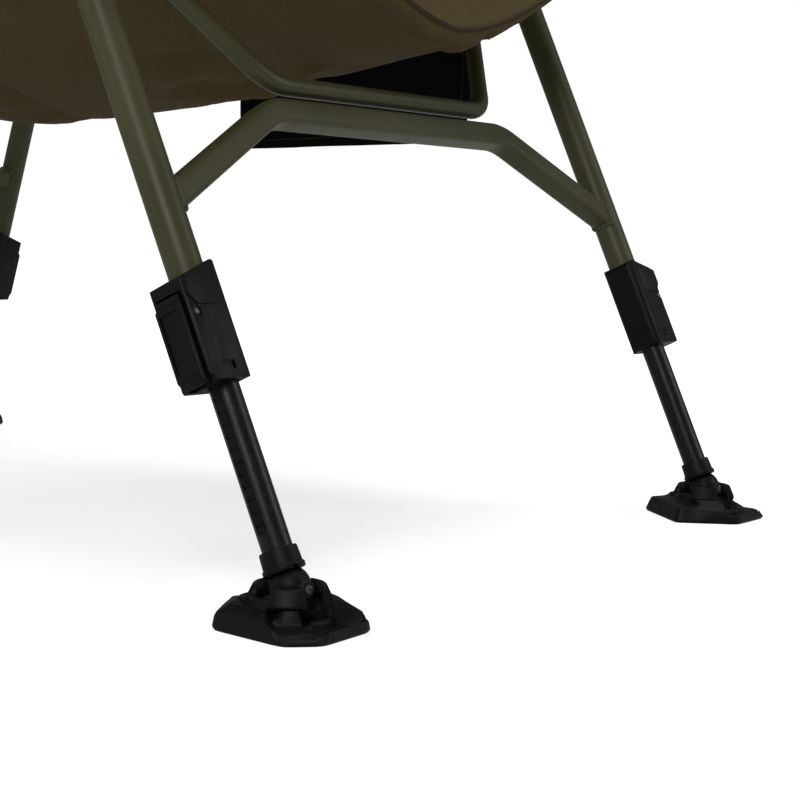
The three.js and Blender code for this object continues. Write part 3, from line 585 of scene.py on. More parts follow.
# How far each station's corner, nose, neck and pocket reach either side, in degrees, and how softly;
# on its outward side the nose is scooped, so it blends over more
ear_half = np.array([20, 20, 20, 20, 22, 26, 30, 30, 28, 27, 27, 27, 27, 27, 27, 27.0])
nose_half = np.array([13, 13, 13, 20, 23, 26, 28, 29, 27, 27, 27, 27, 27, 27, 27, 27.0])
neck_half = np.array([13, 13, 13, 13, 12, 11, 15, 17, 27, 27, 27, 27, 27, 27, 27, 27.0])
pocket_half = np.array([30, 30, 30, 30, 30, 29, 29, 30, 30, 30, 30, 30, 30, 30, 30, 30.0])
scoop = np.array([0, 0, 0, 4, 10, 14, 14, 10, 0, 0, 0, 0, 0, 0, 0, 0.0])
ease = np.array([22, 22, 22, 22, 20, 16, 8, 4, 3, 3, 3, 3, 3, 4, 4, 4.0])
line_points = 106


def foot_base():
    """The base as a ring of blended profiles, resampled along each and softened at its corners."""
    angle = np.linspace(-180, 180, 360, endpoint=False)[:, None]
    near = np.min([gap(angle, ear + swing * turn) for ear, turn in zip(ear_angles, lobe_turns)], axis=0)
    nose_centre = ear_angles[0] + swing * lobe_turns[0]
    nose_off = gap(angle, nose_centre)
    outward_side = (angle - nose_centre + 180) % 360 > 180
    blend = np.where(outward_side, 2 + scoop, 2)
    pocket_off = gap(angle, pocket_angle + pocket_turn * swing)
    reach = outline_reach(angle)

    def station(rows):
        rows = np.array(rows, float)
        return np.stack([reach * rows[:, 0] + rows[:, 1], 0 * reach + rows[:, 2]], -1)

    rows = station(side_rows)
    for part_rows, off, half, soft in (
        (corner_rows, near, ear_half, ease / 2), (pocket_rows, pocket_off, pocket_half, 2),
        (nose_rows, nose_off, nose_half, blend), (neck_rows, nose_off, neck_half, blend + 0.5),
    ):
        share = (1 - step(off, half - soft, half + soft))[..., None]
        rows = rows * (1 - share) + station(part_rows) * share
    last = rows.shape[1] - 1
    at = np.linspace(0, last, line_points)
    low = np.clip(at.astype(int), 0, last - 1)
    share = (at - low)[None, :, None]
    line = rows[:, low] * (1 - share) + rows[:, low + 1] * share
    soft = line.copy()
    soft[:, 8:-1] = (line[:, 7:-2] + 2 * line[:, 8:-1] + line[:, 9:]) / 4
    t = np.radians(angle)
    points = np.stack([soft[..., 0] * np.cos(t), soft[..., 0] * np.sin(t), soft[..., 1] - ankle_z], -1)
    n, k = points.shape[:2]
    rims = [list(range(0, n * k, k))[::-1], list(range(k - 1, n * k, k))]
    return points.reshape(-1, 3), grid_faces(n, k, True, False).tolist() + rims


base_shape = foot_base()
print("foot base:", len(base_shape[0]), "points,", np.round(np.ptp(base_shape[0], axis=0), 1), "mm")

# %% [markdown]
# ## Ball, collar and screw
# The ball is one moulding with a flat boss on its front, where a cross-head screw goes in. The
# collar is pressed on the tube's end. It widens a little downward and ends in a step that
# slides round the ball, so its underside is hollow.

# %% Ball and collar
ball_radius = 14.0
ball_line = np.radians(np.linspace(-90, 90, 41))
ball_profile = np.stack([ball_radius * np.cos(ball_line), ball_radius * np.sin(ball_line)], -1)
kept = np.abs(ball_profile[:, 1] - 0.9) < 12.9
boss = [(0.3, -15.4), (5.2, -15.4), (6.0, -14.8), (6.6, -12.6)]
ball = turned(np.concatenate([boss, ball_profile[kept], [(0.3, ball_radius)]]), axis=1, count=48)
socket_hole = turned([(0.2, -16.5), (3.9, -16.5), (3.9, -14.3), (0.2, -14.3)], axis=1, count=32)
ball_shape = shaped(ball, [socket_hole], 0.3)
screw_profile = [(0.2, -14.4), (3.6, -14.4), (3.6, -15.2), (3.0, -15.9), (1.4, -16.2), (0.2, -16.25)]
cross_cuts = [box((-2.2, -17, -0.45), (2.2, -15.2, 0.45)), box((-0.45, -17, -2.2), (0.45, -15.2, 2.2))]
screw_shape = shaped(turned(screw_profile, axis=1, count=32), cross_cuts, 0.12)

collar_profile = [
    (10.6, 24.9), (12.2, 24.9), (12.7, 24.3), (13.2, 14.0), (14.0, 13.5), (14.2, 13.0),
    (14.2, 10.6), (13.9, 10.0), (13.3, 9.8), (12.2, 9.9), (11.2, 10.3), (8.6, 11.7), (5.0, 13.6),
    (0.4, 14.5), (0.4, 17.2), (10.6, 17.2),
]
notch = box((2.0, -15.5, 6.0), (7.0, -11.2, 11.6))
collar_shape = shaped(turned(collar_profile, count=48, closed=True), [notch], 0.3)

for end, corner, spot in corners:
    ankle, knuckle = ankles[end], f"knuckle_{corner}"
    base = placed(base_shape, ankle, **spot)
    piece(f"base_{corner}", base, f"foot_{corner}", nylon, f"foot_base_{corner}", smooth=32)
    piece(f"ball_{corner}", placed(ball_shape, ankle, **spot), knuckle, nylon, f"foot_knuckle_{corner}")
    piece(f"ball_screw_{corner}", placed(screw_shape, ankle, **spot), knuckle, steel)
    collar = placed(collar_shape, legs[end], **spot)
    piece(f"collar_{corner}", collar, f"extension_{corner}", nylon, f"foot_collar_{corner}")
print("four feet made")

# %% [markdown]
# ## Inner tubes
# An inner tube is a thin round tube with a long slot in its outer side, where a toothed strip
# shows. Its wall is a grid of angles and heights on the outside and on the inside, with the
# slot's cells left out and the edges joined.

# %% Inner tubes
inner_radius, inner_bore, slot_half_width = 10.25, 8.85, 3.8
slot_half_angle = math.asin(slot_half_width / inner_radius)
angles = np.concatenate([
    np.linspace(-slot_half_angle, slot_half_angle, 5),
    np.linspace(slot_half_angle, 2 * np.pi - slot_half_angle, 44)[1:-1],
])
heights = np.array([17.3, 36, 60, 100, 140, 180, 226, 260, 300.0])
keep = np.ones((len(heights) - 1, len(angles)), bool)
keep[1:6, :4] = False
t, h = np.meshgrid(angles, heights)
skins = [np.stack([r * np.cos(t), r * np.sin(t), h], -1) for r in (inner_radius, inner_bore)]
inner_shape = walled(*skins, keep)
for end, corner, spot in corners:
    inner = placed(inner_shape, legs[end], **spot)
    piece(f"inner_{corner}", inner, f"extension_{corner}", black_paint, f"inner_tube_{corner}")
    rack_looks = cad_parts[f"rack_{corner}"].data.materials
    rack_looks.clear()
    rack_looks.append(nylon.material)
print("inner tubes:", len(inner_shape[0]), "points each")

# %% [markdown]
# ## Leg locks
# The lock is a black moulding round the foot of the outer tube. Its outer side is open for the
# lever, which turns on a pin, and its front has a raised upper block, the pin's counterbore and
# a small window near the bottom. The moulding is a prism with these cut out of it, and then all
# its edges are rounded.

# %% Leg locks
lock_low, lock_high, lock_half = 136.4, 224, 15.5
pin_x, pin_z = 20.5, 183
nook_radius, nook_x, nook_y = 7.5, -8, 8
edge_radius, edge_x = 7, -8.5
def nook(first, last, y):
    """A rounded inner corner of the lock's outline, as an arc between two angles."""
    t = np.radians(np.linspace(first, last, 9))
    return np.stack([nook_radius * np.cos(t) + nook_x, nook_radius * np.sin(t) + y], -1)


lock_outline = np.concatenate([
    [(25.5, -13.0), (23.0, -lock_half)], nook(270, 180, -nook_y), nook(180, 90, nook_y),
    [(23.0, lock_half), (25.5, 13.0)],
])


def edge_cut(height, last_angle, beyond):
    """What lies outside the lock's rounded inner edge: an arc from 180 degrees, then points beyond."""
    t = np.radians(np.linspace(180, last_angle, 7))
    arc = np.stack([edge_radius * np.cos(t) + edge_x, edge_radius * np.sin(t) + height], -1)
    return slab(np.concatenate([[(-17, height)], arc, beyond]), -20, 20)


top_cut = edge_cut(211.4, 71, [(26.5, 206.7), (26.5, 230), (-17, 230)])
foot_cut = edge_cut(143.4, 270, [(edge_x, 130), (-17, 130)])
toe_cut = slab([(21.5, 135.8), (26.5, 144.4), (28, 144), (28, 130), (21.5, 130)], -20, 20)
lock_cuts = [
    top_cut, foot_cut, toe_cut, prism(ring(12.6), 166, 228), prism(ring(10.75), 134, 228),
    box((15.2, -11, 134), (28, 11, 199)), box((0, -11, 149.5), (17, 11, 165)),
    box((0.5, -17, 147.2), (11.6, -14.3, 148.8)), box((0.5, -17, 143), (3.6, -13.5, 148)),
    slab(ring(4.0, 28) + [pin_x, pin_z], -17, -14.6),
]
lock_shape = shaped(prism(lock_outline, lock_low, lock_high), lock_cuts, 0.7)
raised = slab([(-4, 225), (-4, 187.3), (19, 187.3), (25.2, 194.5), (25.2, 225)], -17.6, -13.8)
raised_front = prism([(-5, -15.6), (16, -16.9), (28, -16.9), (28, -20), (-5, -20)], 180, 230)
raised_shape = shaped(raised, [raised_front, top_cut], 0.6)
pin_profile = [(0.2, -15.6), (1.6, -15.6), (2.4, -15.2), (2.6, -14.2), (2.6, 14.2), (2.4, 15.2), (0.2, 15.6)]
pin_points, pin_faces = turned(pin_profile, 1, 24)
pin_shape = (pin_points + [pin_x, 0, pin_z], pin_faces)
lever = slab([
    (23.0, 196.8), (23.0, 187.3), (20.5, 187.3), (16.2, 183), (16.2, 165), (10.75, 160.5), (10.75, 156),
    (22.5, 149.5), (22.5, 137.5), (26.8, 136.8), (31, 142.5), (31, 190), (28.2, 193.5), (28, 196.8),
], -10.2, 10.2)
lever_cuts = [box((29.5, -8, 147), (33, 8, 187)), slab(ring(2.7, 24) + [pin_x, pin_z], -12, 12)]
lever_shape = shaped(lever, lever_cuts, 0.6)
for end, corner, spot in corners:
    for name, shape, body, look, node in (
        ("lock", lock_shape, f"{end}_legs", nylon, f"lock_housing_{corner}"),
        ("lock_block", raised_shape, f"{end}_legs", nylon, None),
        ("lock_pin", pin_shape, f"{end}_legs", steel, None),
        ("lever", lever_shape, f"lever_{corner}", nylon, f"lock_lever_{corner}"),
    ):
        piece(f"{name}_{corner}", placed(shape, legs[end], **spot), body, look, node)
print("lock:", len(lock_shape[0]), "points, lever:", len(lever_shape[0]), "points")

# %% [markdown]
# ## Round tubes of the frame
# The legs, rails, posts, hoop, cross bars and the back are bent from round tube. Each is a
# circle carried along its path with a wall inside it, so an open end shows its bore.

# %% Round tubes
for end, corner, spot in corners:
    shape = tube(straight((0, 0, 166.3), (0, 0, reaches[end] + 15)), leg_radius, (0, 1, 0))
    piece(f"outer_{corner}", placed(shape, legs[end], **spot), f"{end}_legs", paint, f"leg_tube_{corner}")
rail_end = rear_along + 24.5
rail_tube = tube(straight((0, -137, 0), (0, rail_end, 0), 16), rail_radius, (0, 0, 1))
rail_stop = turned([(0.3, rail_end + 1.5), (9.6, rail_end + 1.5), (11, rail_end), (0.3, rail_end - 0.1)], 1)
rail = merge(rail_tube, rail_stop)
post = tube(straight((0, 0, -10), (0, 0, arm_rise + 8)), post_radius, (0, 1, 0))
for name, side in sides.items():
    piece(f"rail_{name}", placed(rail, rails, side * rail_x, side), "seat_frame", paint, f"seat_rail_{name}")
    post_body = f"arm_post_{name}"
    piece(f"post_{name}", placed(post, posts, side * leg_x, side), post_body, paint, f"arm_post_{name}")


def in_rails(behind, height):
    """A place given from the front ankles and the ground, as along and above in the rails' frame."""
    run_y, rise = -foot_span / 2 + behind - pivot_y, height - pivot_z
    c, s = math.cos(slope), math.sin(slope)
    return (run_y * c - rise * s, rise * c + run_y * s)


# Bars between the rails start just inside the rails' skin
bar_end = rail_x - 10.8
hoop_behind, hoop_height, hoop_half = 152.6, 356.4, 148
hoop_low = in_rails(hoop_behind, hoop_height)
hoop_points = [(-rail_x, 36, 0), (-hoop_half, *hoop_low), (hoop_half, *hoop_low), (rail_x, 36, 0)]
hoop_normal = np.cross(np.subtract(hoop_points[1], hoop_points[0]), (1, 0, 0))
hoop_path = bent(hoop_points, 38, 12)
ends_in = unit(hoop_path[1] - hoop_path[0]) * 10.5
hoop_path[0] = hoop_path[0] + ends_in
hoop_path[-1] = hoop_path[-1] + ends_in * [-1, 1, 1]
back_foot = -14.7
back_path = bent([
    (-rail_x, 0, back_foot), (-rail_x, 0, back_height), (rail_x, 0, back_height), (rail_x, 0, back_foot),
], 70, 14)
rear_bar = straight((-bar_end, 470, 0), (bar_end, 470, 0))
lower_bar = straight((-bar_end, 0, 35), (bar_end, 0, 35))
for name, path, radius, up, place, body, node in (
    ("hoop", hoop_path, hoop_radius, hoop_normal, rails, "seat_frame", "front_hoop"),
    ("rear_bar", rear_bar, bar_radius, (0, 0, 1), rails, "seat_frame", "rear_cross_bar"),
    ("back_tube", back_path, rail_radius, (0, 1, 0), back, "backrest", "back_frame"),
    ("back_lower_bar", lower_bar, bar_radius, (0, 1, 0), back, "backrest", "back_cross_bar"),
):
    piece(name, placed(tube(path, radius, up), place), body, paint, node)
print("round tubes made")

# %% [markdown]
# ## Braces
# The braces between the legs are square tube with rounded corners. The front one runs down to
# the legs from a raised middle. Their ends are welded to the legs, so a rough bead runs round
# each joint, where the bar's outline meets the round leg.

# %% Braces and welds
def rounded_square(half, corner, steps=6):
    """The outline of a square with rounded corners, as (p, q)."""
    t = np.radians(np.linspace(0, 90, steps))
    one = np.stack([half - corner + corner * np.cos(t), half - corner + corner * np.sin(t)], -1)
    turns_by = [np.array([[c, s], [-s, c]]) for c, s in ((1, 0), (0, 1), (-1, 0), (0, -1))]
    return np.concatenate([one @ m for m in turns_by])


def bead(path, width, seed, up):
    """A weld: a closed tube whose thickness rises and falls in small overlapping pools."""
    t = np.linspace(0, 2 * np.pi, len(path), endpoint=False)
    made = np.random.default_rng(seed)
    swell = 1 + 0.14 * np.sin(t * 26 + made.uniform(0, 6)) + 0.08 * np.sin(t * 9 + made.uniform(0, 6))
    points, faces = swept(path, ring(width, 10), up, close=True)
    grid = points.reshape(len(path), 10, 3)
    grid = path[:, None] + (grid - path[:, None]) * swell[:, None, None]
    return grid.reshape(-1, 3), faces


brace_half, brace_corner, brace_gap = 10, 4.5, 0.2
front_foot, front_middle, rear_level = 263.3, 340, 282.5
brace_paths = {
    "front": bent([(-leg_x, 0, front_foot), (-160, 0, front_middle), (160, 0, front_middle),
                   (leg_x, 0, front_foot)], 60, 12),
    "rear": straight((-leg_x, 0, rear_level), (leg_x, 0, rear_level)),
}
profile = rounded_square(brace_half, brace_corner)
for end, path in brace_paths.items():
    heading = unit(path[1] - path[0])
    path[0] = path[0] + heading * 9
    path[-1] = path[-1] - heading * [1, 1, -1] * 9
    points, faces = swept(path, profile, (0, 1, 0))
    grid = points.reshape(len(path), -1, 3)
    # Each end is drawn along the bar to the leg's skin, x = leg_x - sqrt(radius^2 - y^2)
    for row, sign in ((0, -1), (-1, 1)):
        reach_in = np.sqrt(np.maximum((leg_radius + brace_gap) ** 2 - grid[row, :, 1] ** 2, 0))
        travel = (sign * (leg_x - reach_in) - grid[row, :, 0]) / (-sign * heading[0])
        grid[row] = grid[row] + travel[:, None] * heading * [-sign, 1, 1]
    brace = placed((grid.reshape(-1, 3), faces), legs[end], fore=turns[end])
    piece(f"brace_{end}", brace, f"{end}_legs", paint, f"{end}_brace")
    for name, side in sides.items():
        loop = grid[0 if side < 0 else -1]
        weld = bead(loop + [side * -0.6, 0, 0], 2.1, 3 + side, (side, 0, 0))
        piece(f"weld_{end}_{name}", placed(weld, legs[end], fore=turns[end]), f"{end}_legs", weld_paint)
print("braces made")

# %% [markdown]
# ## Cushions
# A cushion is two grids, a top and an underside, whose borders are joined by a bulging edge. The
# seat and the back have three sections between sewn channels, so their thickness drops at each
# channel. Blender's cloth then blows each section up a little, with the borders and channels
# pinned, and last come the small puckers that thread pulls into cloth.

# %% Cushion shapes
pad_half = 269.6
seat_front, seat_length = -137, 567
back_low, back_length, shoulder, shoulder_radius = 56, 620.3, 620, 56.3


def eased(s, push):
    """s with its steps drawn towards both ends: s - push sin(2 pi s) / 2 pi."""
    return s - push * np.sin(2 * np.pi * s) / (2 * np.pi)


def crown_share(s, power):
    """1 in the middle and 0 at -1 and 1: the square root of 1 - |s|^power."""
    return np.sqrt(np.maximum(1 - np.abs(s) ** power, 0))


def channel(s, half=0.045):
    """1 on each of the two sewn lines and 0 from half away."""
    near = np.minimum(np.abs(s - 1 / 3), np.abs(s - 2 / 3)) / half
    return np.maximum(1 - near, 0) ** 1.4


def seat_surface(a, s, layer):
    """A slung seat: its underside hangs by (119 + 12 sin(pi b) - 34 b^9)(1 - |a|^1.6)."""
    b = eased(s, 0.4)
    under = -8 - (119 + 12 * np.sin(np.pi * b) - 34 * b ** 9) * (1 - np.abs(a) ** 1.6)
    crown = 44 * crown_share(a, 4) * crown_share(2 * b - 1, 8)
    z = under + (layer + 1) / 2 * (16 + crown) - layer * 7 * channel(s) * (1 - a ** 4)
    return np.stack([pad_half * a, seat_front + seat_length * b - z * math.tan(slope), z], -1)


def back_surface(a, s, layer):
    """The back's pad, which narrows by an arc at its top, with the deeper crown to the front."""
    b = eased(s, 0.5)
    crown = crown_share(a, 4) * crown_share(2 * b - 1, 6)
    height = back_low + back_length * b
    arc = 210.9 + np.sqrt(np.maximum(shoulder_radius ** 2 - np.maximum(height - shoulder, 0) ** 2, 0))
    half = np.where(height > shoulder, arc, pad_half)
    front = 9 * channel(s) * (1 - a ** 4) - 7.5 - 30 * crown
    rear = 7.5 + 12 * crown - 5 * channel(s) * (1 - a ** 4)
    return np.stack([half * a, rear + (front - rear) * (layer + 1) / 2, height], -1)


def pillow_surface(a, s, layer):
    """The head pillow, whose sides pull in between its corners."""
    half = 185 - 7 * (1 - (2 * s - 1) ** 2)
    z = back_height - 190 + 128 * s + 7 * (1 - a ** 2) * (1 - 2 * s)
    front = 10 + 52 * crown_share(a, 4) * crown_share(2 * s - 1, 2.5)
    return np.stack([half * a, -37.1 - front * (layer + 1) / 2, z], -1)


def arm_surface(a, s, layer):
    """The armrest's foam, flat below and crowned above."""
    b = eased(s, 0.5)
    top = 12 + 13 * crown_share(a, 3) * crown_share(2 * b - 1, 6)
    x = 296.7 + a * (27 - 3 * (1 - (2 * b - 1) ** 2))
    return np.stack([x, -22 + 322 * b, 12.8 + top * (layer + 1) / 2], -1)


def cushion(surface, columns, rows, bulge, size, along=1, rings=4):
    """A closed pad: points, faces, its place on the flat cloth, and the numbers of its points."""
    s, a = np.meshgrid(np.linspace(0, 1, rows + 1), np.linspace(-1, 1, columns + 1), indexing="ij")
    index = np.arange(a.size).reshape(a.shape)
    loop = np.concatenate([index[0], index[1:, -1], index[-1, -2::-1], index[-2:0:-1, 0]])
    edge_a, edge_s = a.ravel()[loop], s.ravel()[loop]
    out = np.zeros((len(loop), 3))
    out[:, 0] = np.where(np.abs(edge_a) > 0.999, edge_a, 0)
    out[:, along] = np.where(edge_s < 0.001, -1, np.where(edge_s > 0.999, 1, 0))
    out = unit(out)
    points = [surface(a, s, 1).reshape(-1, 3), surface(a, s, -1).reshape(-1, 3)]
    flat = np.stack([a.ravel() * size[0] / 2, s.ravel() * size[1]], -1)
    maps, numbers = [flat, flat], [loop]
    for k, h in enumerate(np.linspace(1, -1, rings + 1)[1:-1]):
        points.append(surface(edge_a, edge_s, h) + out * bulge * (1 - h * h))
        maps.append(flat[loop] + out[:, [0, along]] * (1 - h) * bulge)
        numbers.append(2 * a.size + k * len(loop) + np.arange(len(loop)))
    numbers.append(a.size + loop)
    top = grid_faces(*a.shape)
    faces = [top, top[:, ::-1] + a.size]
    for upper, lower in zip(numbers[:-1], numbers[1:]):
        faces.append(np.stack([upper, lower, np.roll(lower, -1), np.roll(upper, -1)], -1))
    middle = numbers[rings // 2]
    places = dict(
        top=index, under=index + a.size, rings=numbers, middle=middle, s=s, a=a,
        ends=(middle[:columns + 1], middle[columns + rows:2 * columns + rows + 1]),
    )
    return np.concatenate(points), np.concatenate(faces).tolist(), np.concatenate(maps) / 1000, places


def points_of(item, what="vertices", key="co"):
    """The points of a mesh, or another row of numbers that it keeps for each, as an array."""
    data = getattr(item.data, what)
    values = np.zeros(len(data) * 3)
    data.foreach_get(key, values)
    return values.reshape(-1, 3)


def normals_of(item):
    """The direction in which the skin faces at each point of a mesh."""
    return points_of(item, "vertex_normals", "vector")


def move_points(item, points):
    """Puts the points of a mesh in new places."""
    item.data.vertices.foreach_set("co", np.asarray(points, float).ravel())
    item.data.update()


def with_map(item, flat):
    """Gives each face corner the place of its point on the flat cloth, in metres."""
    corner = np.zeros(len(item.data.loops), int)
    item.data.loops.foreach_get("vertex_index", corner)
    layer = item.data.uv_layers.new(name="flat")
    layer.data.foreach_set("uv", np.asarray(flat)[corner].ravel())


def blown_up(item, pins, cap, pressure=4.0, frames=20):
    """Blender's cloth with air in it: pinned points stay, and no other moves further than cap."""
    before = points_of(item)
    group = item.vertex_groups.new(name="pinned")
    group.add([int(i) for i in pins], 1.0, "ADD")
    cloth = item.modifiers.new("cloth", "CLOTH")
    cloth.settings.quality = 6
    cloth.settings.mass = 0.4
    cloth.settings.tension_stiffness = cloth.settings.compression_stiffness = 12
    cloth.settings.bending_stiffness = 1.5
    cloth.settings.use_pressure = True
    cloth.settings.uniform_pressure_force = pressure
    cloth.settings.effector_weights.gravity = 0
    cloth.settings.vertex_group_mass = "pinned"
    cloth.point_cache.frame_end = frames
    for time in range(1, frames + 1):
        bpy.context.scene.frame_set(time)
    after, _ = settled(item)
    item.modifiers.remove(cloth)
    item.vertex_groups.clear()
    bpy.context.scene.frame_set(1)
    travel = after - before
    far = np.linalg.norm(travel, axis=1, keepdims=True)
    move_points(item, before + travel * np.minimum(1, cap / np.maximum(far, 1e-9)))
    print(item.name, "moved", round(float(far.max()) * 1000, 1), "mm, held to", cap * 1000)


def waves(u, v, size, seed, count=14, turn=None, spread=3.2):
    """Smooth noise: a sum of cosines across the cloth with wavelengths near size."""
    made = np.random.default_rng(seed)
    total = 0
    for _ in range(count):
        angle = made.uniform(0, np.pi) if turn is None else turn + made.uniform(-spread, spread)
        k = 2 * np.pi / (size * made.uniform(0.6, 1.7))
        total = total + np.cos(k * (u * math.cos(angle) + v * math.sin(angle)) + made.uniform(0, 6.3))
    return total / math.sqrt(count)


print("seat underside at its middle:", np.round(seat_surface(0.0, 0.5, -1)))

# %% [markdown]
# ## Seat, back, pillow and armrests
# The seat's underside is what the picture shows most of. Its cloth hangs a little loose, so long
# shallow folds run slantwise from the corners, and short puckers run off each sewn line.

# %% Soft pieces
def walked(line):
    """The distance from a line's start to each of its points."""
    return np.concatenate([[0], np.cumsum(np.linalg.norm(np.diff(line, axis=0), axis=1))])


def stitch_row(name, line, lift, body, pitch=0.0046, length=0.0032, size=0.00042):
    """Thread along a line of points: one small capsule for each stitch, a little above the cloth."""
    line, lift = np.asarray(line), unit(lift)
    reach = walked(line)
    at = np.arange(pitch, reach[-1] - pitch, pitch)
    centre, beyond, normal = (
        np.stack([np.interp(where, reach, values[:, k]) for k in range(3)], -1)
        for where, values in ((at, line), (at + 0.0005, line), (at, lift))
    )
    normal, run_on = unit(normal)[:, None, None], unit(beyond - centre)[:, None, None]
    side = np.cross(run_on, normal)
    t = np.array([-0.5, -0.36, 0.36, 0.5])[:, None] * length + 0 * np.zeros(6)
    r = np.array([0.3, 1, 1, 0.3])[:, None] * size
    angle = np.linspace(0, 2 * np.pi, 6, endpoint=False)
    p, q = r * np.cos(angle), r * np.sin(angle) + size * 0.6
    shape = centre[:, None, None] + t[None, ..., None] * run_on
    shape = shape + p[None, ..., None] * side + q[None, ..., None] * normal
    one = grid_faces(4, 6, False, True).tolist() + end_faces(4, 6)
    faces = [[i + 24 * n for i in face] for n in range(len(at)) for face in one]
    return piece(name, (shape.reshape(-1, 3), faces), body, thread)


def piping(name, line, up, body, close=False, radius=0.0021, sides_round=12):
    """A round welt along a border."""
    item = piece(name, swept(line, ring(radius, sides_round), up, close), body, binding, smooth=60)
    around = np.linspace(0, 2 * np.pi * radius, sides_round, endpoint=False)
    flat = np.stack(np.broadcast_arrays(around[None, :], walked(line)[:, None]), -1)
    with_map(item, flat.reshape(-1, 2))
    return item


def soft_piece(name, surface, place, grid, bulge, size, cap, body, node, along=1, channels=(1 / 3, 2 / 3)):
    """A cushion made, put in its place, blown up and puckered along its border and channels."""
    points, faces, flat, at = cushion(surface, *grid, bulge, size, along)
    item = piece(name, placed((points, faces), place), body, seat_cloth, node, smooth=50)
    with_map(item, flat)
    rows = at["s"][:, 0]
    sewn = at["sewn"] = [int(np.argmin(np.abs(rows - m))) for m in channels]
    top, under = at["top"], at["under"]
    pins = [top[0], top[-1], top[:, 0], top[:, -1], *at["rings"], *top[sewn], *under[sewn]]
    blown_up(item, np.unique(np.concatenate(pins)), cap)
    u, v = flat.T * 1000
    edge_near = np.minimum(size[0] / 2 - np.abs(u), np.minimum(v, size[1] - v))
    seam_near = np.min([np.abs(v - size[1] * rows[r]) for r in sewn] or [np.full(len(u), 999.0)], axis=0)
    by_edge = np.exp(-np.maximum(edge_near - 4, 0) / 16) * (edge_near > 1)
    by_seam = np.exp(-np.maximum(seam_near - 3, 0) / 14) * np.clip(seam_near / 5, 0, 1)
    across_seam = waves(u, v * 0.15, 17, 5) * by_seam
    along_edge = waves(u + v, (u - v) * 0.2, 22, 6) * by_edge
    height = 1.5 * across_seam + 1.1 * along_edge + 0.8 * waves(u, v, 120, 7)
    move_points(item, points_of(item) + normals_of(item) * height[:, None] / 1000)
    return item, at


def seams(name, points, normals, at, body):
    """A row of stitches on each layer of a cushion, along each of its channels."""
    return [
        stitch_row(f"{name}_stitches_{layer}_{row}", points[at[layer][row]], normals[at[layer][row]], body)
        for row in at["sewn"] for layer in ("top", "under")
    ]


seat, at = soft_piece(
    "seat", seat_surface, rails, (92, 102), 6.0, (560, 600), 0.009, "seat_frame", "seat_pad",
)
points, normals = points_of(seat), normals_of(seat)
under, share = at["under"].ravel(), at["a"].ravel()
u, v = share * 270, at["s"].ravel() * seat_length
loose = (1 - np.abs(share) ** 6) * (1 - channel(v / seat_length, 0.03))
slant = waves(u, v, 46, 11, 9, 0.5, 0.2) + waves(u, v, 60, 12, 9, -0.65, 0.25)
strength_here = step(waves(u, v, 190, 13), -0.2, 1.2)
points[under] += normals[under] * (3.4 * slant * strength_here * loose)[:, None] / 1000
move_points(seat, points)
normals = normals_of(seat)

fold_up = tuple(rails.direction((0, 0, 1)))
fold_to = tuple(rails.out((0, 0, 0)) / 1000)
seat_parts = [seat, *seams("seat", points, normals, at, "seat_frame")]
for name, edge in zip(("front", "rear"), at["ends"]):
    seat_parts.append(piping(f"seat_piping_{name}", points[edge], fold_up, "seat_frame"))
for layer in ("top", "under"):
    line = at[layer][3]
    seat_parts.append(stitch_row(f"seat_hem_{layer}", points[line], normals[line], "seat_frame"))
for item in seat_parts:
    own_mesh(item)

across_back = back.direction((0, 1, 0))
back_pad, at = soft_piece(
    "back", back_surface, back, (92, 112), 6.0, (560, 650), 0.009, "backrest", "back_pad", along=2,
)
points = points_of(back_pad)
seams("back", points, normals_of(back_pad), at, "backrest")
for name, edge in zip(("lower", "upper"), at["ends"]):
    piping(f"back_piping_{name}", points[edge], across_back, "backrest")

pillow, at = soft_piece(
    "pillow", pillow_surface, back, (80, 32), 3.0, (370, 150), 0.008, "backrest", "head_pillow",
    along=2, channels=(),
)
piping("pillow_piping", points_of(pillow)[at["middle"]], across_back, "backrest", close=True)

arm_points, arm_faces = cushion(arm_surface, 24, 60, 1.5, (54, 322))[:2]
for name, side in sides.items():
    skin = placed((arm_points * [side, 1, 1], arm_faces), arms)
    piece(f"arm_pad_skin_{name}", skin, f"arm_{name}", foam, f"arm_pad_{name}", 50)
print("soft pieces made")

# %% [markdown]
# ## Fabric sleeves
# The seat's and the back's cloth runs round the tubes in sleeves. A sleeve is a circle round the
# tube whose inner side is drawn out to the pad's edge, with a doubled hem at each end.

# %% Sleeves
def sleeve(name, start, end, place, body, side, up, radius, loose, count_round=48):
    """The cloth round a tube: r(t) = radius, drawn to the pad by a flat wedge on its inner side."""
    count = max(int((end - start) / 4), 6)
    where = np.linspace(start, end, count + 1)
    t = np.linspace(0, 2 * np.pi, count_round, endpoint=False)
    towards = np.maximum(np.cos(t), 0) ** 3
    seed = int(abs(start)) + 3
    crease = waves(where[:, None] + 20 * np.cos(t), 30 * np.sin(t) + 0 * where[:, None], 34, seed, 10)
    hem = 1.5 * loose * (1 - step(np.minimum(where - start, end - where), 11, 13))
    skins = []
    for reach in (radius + (loose * crease + hem[:, None]), rail_radius + 0.4 + 0 * crease):
        skin = np.zeros((*reach.shape, 3))
        skin[..., 0] = side * rail_x - side * (reach * np.cos(t) + 5 * towards)
        skin[..., up] = reach * np.sin(t) * (1 - 0.3 * towards)
        skin[..., 3 - up] = where[:, None]
        skins.append(skin)
    part = walled(*skins, np.ones((count, count_round), bool))
    item = piece(name, placed(part, place), body, seat_cloth, smooth=50)
    flat = np.stack(np.broadcast_arrays(t[None, :] * radius, where[:, None]), -1).reshape(-1, 2) / 1000
    with_map(item, np.concatenate([flat, flat]))


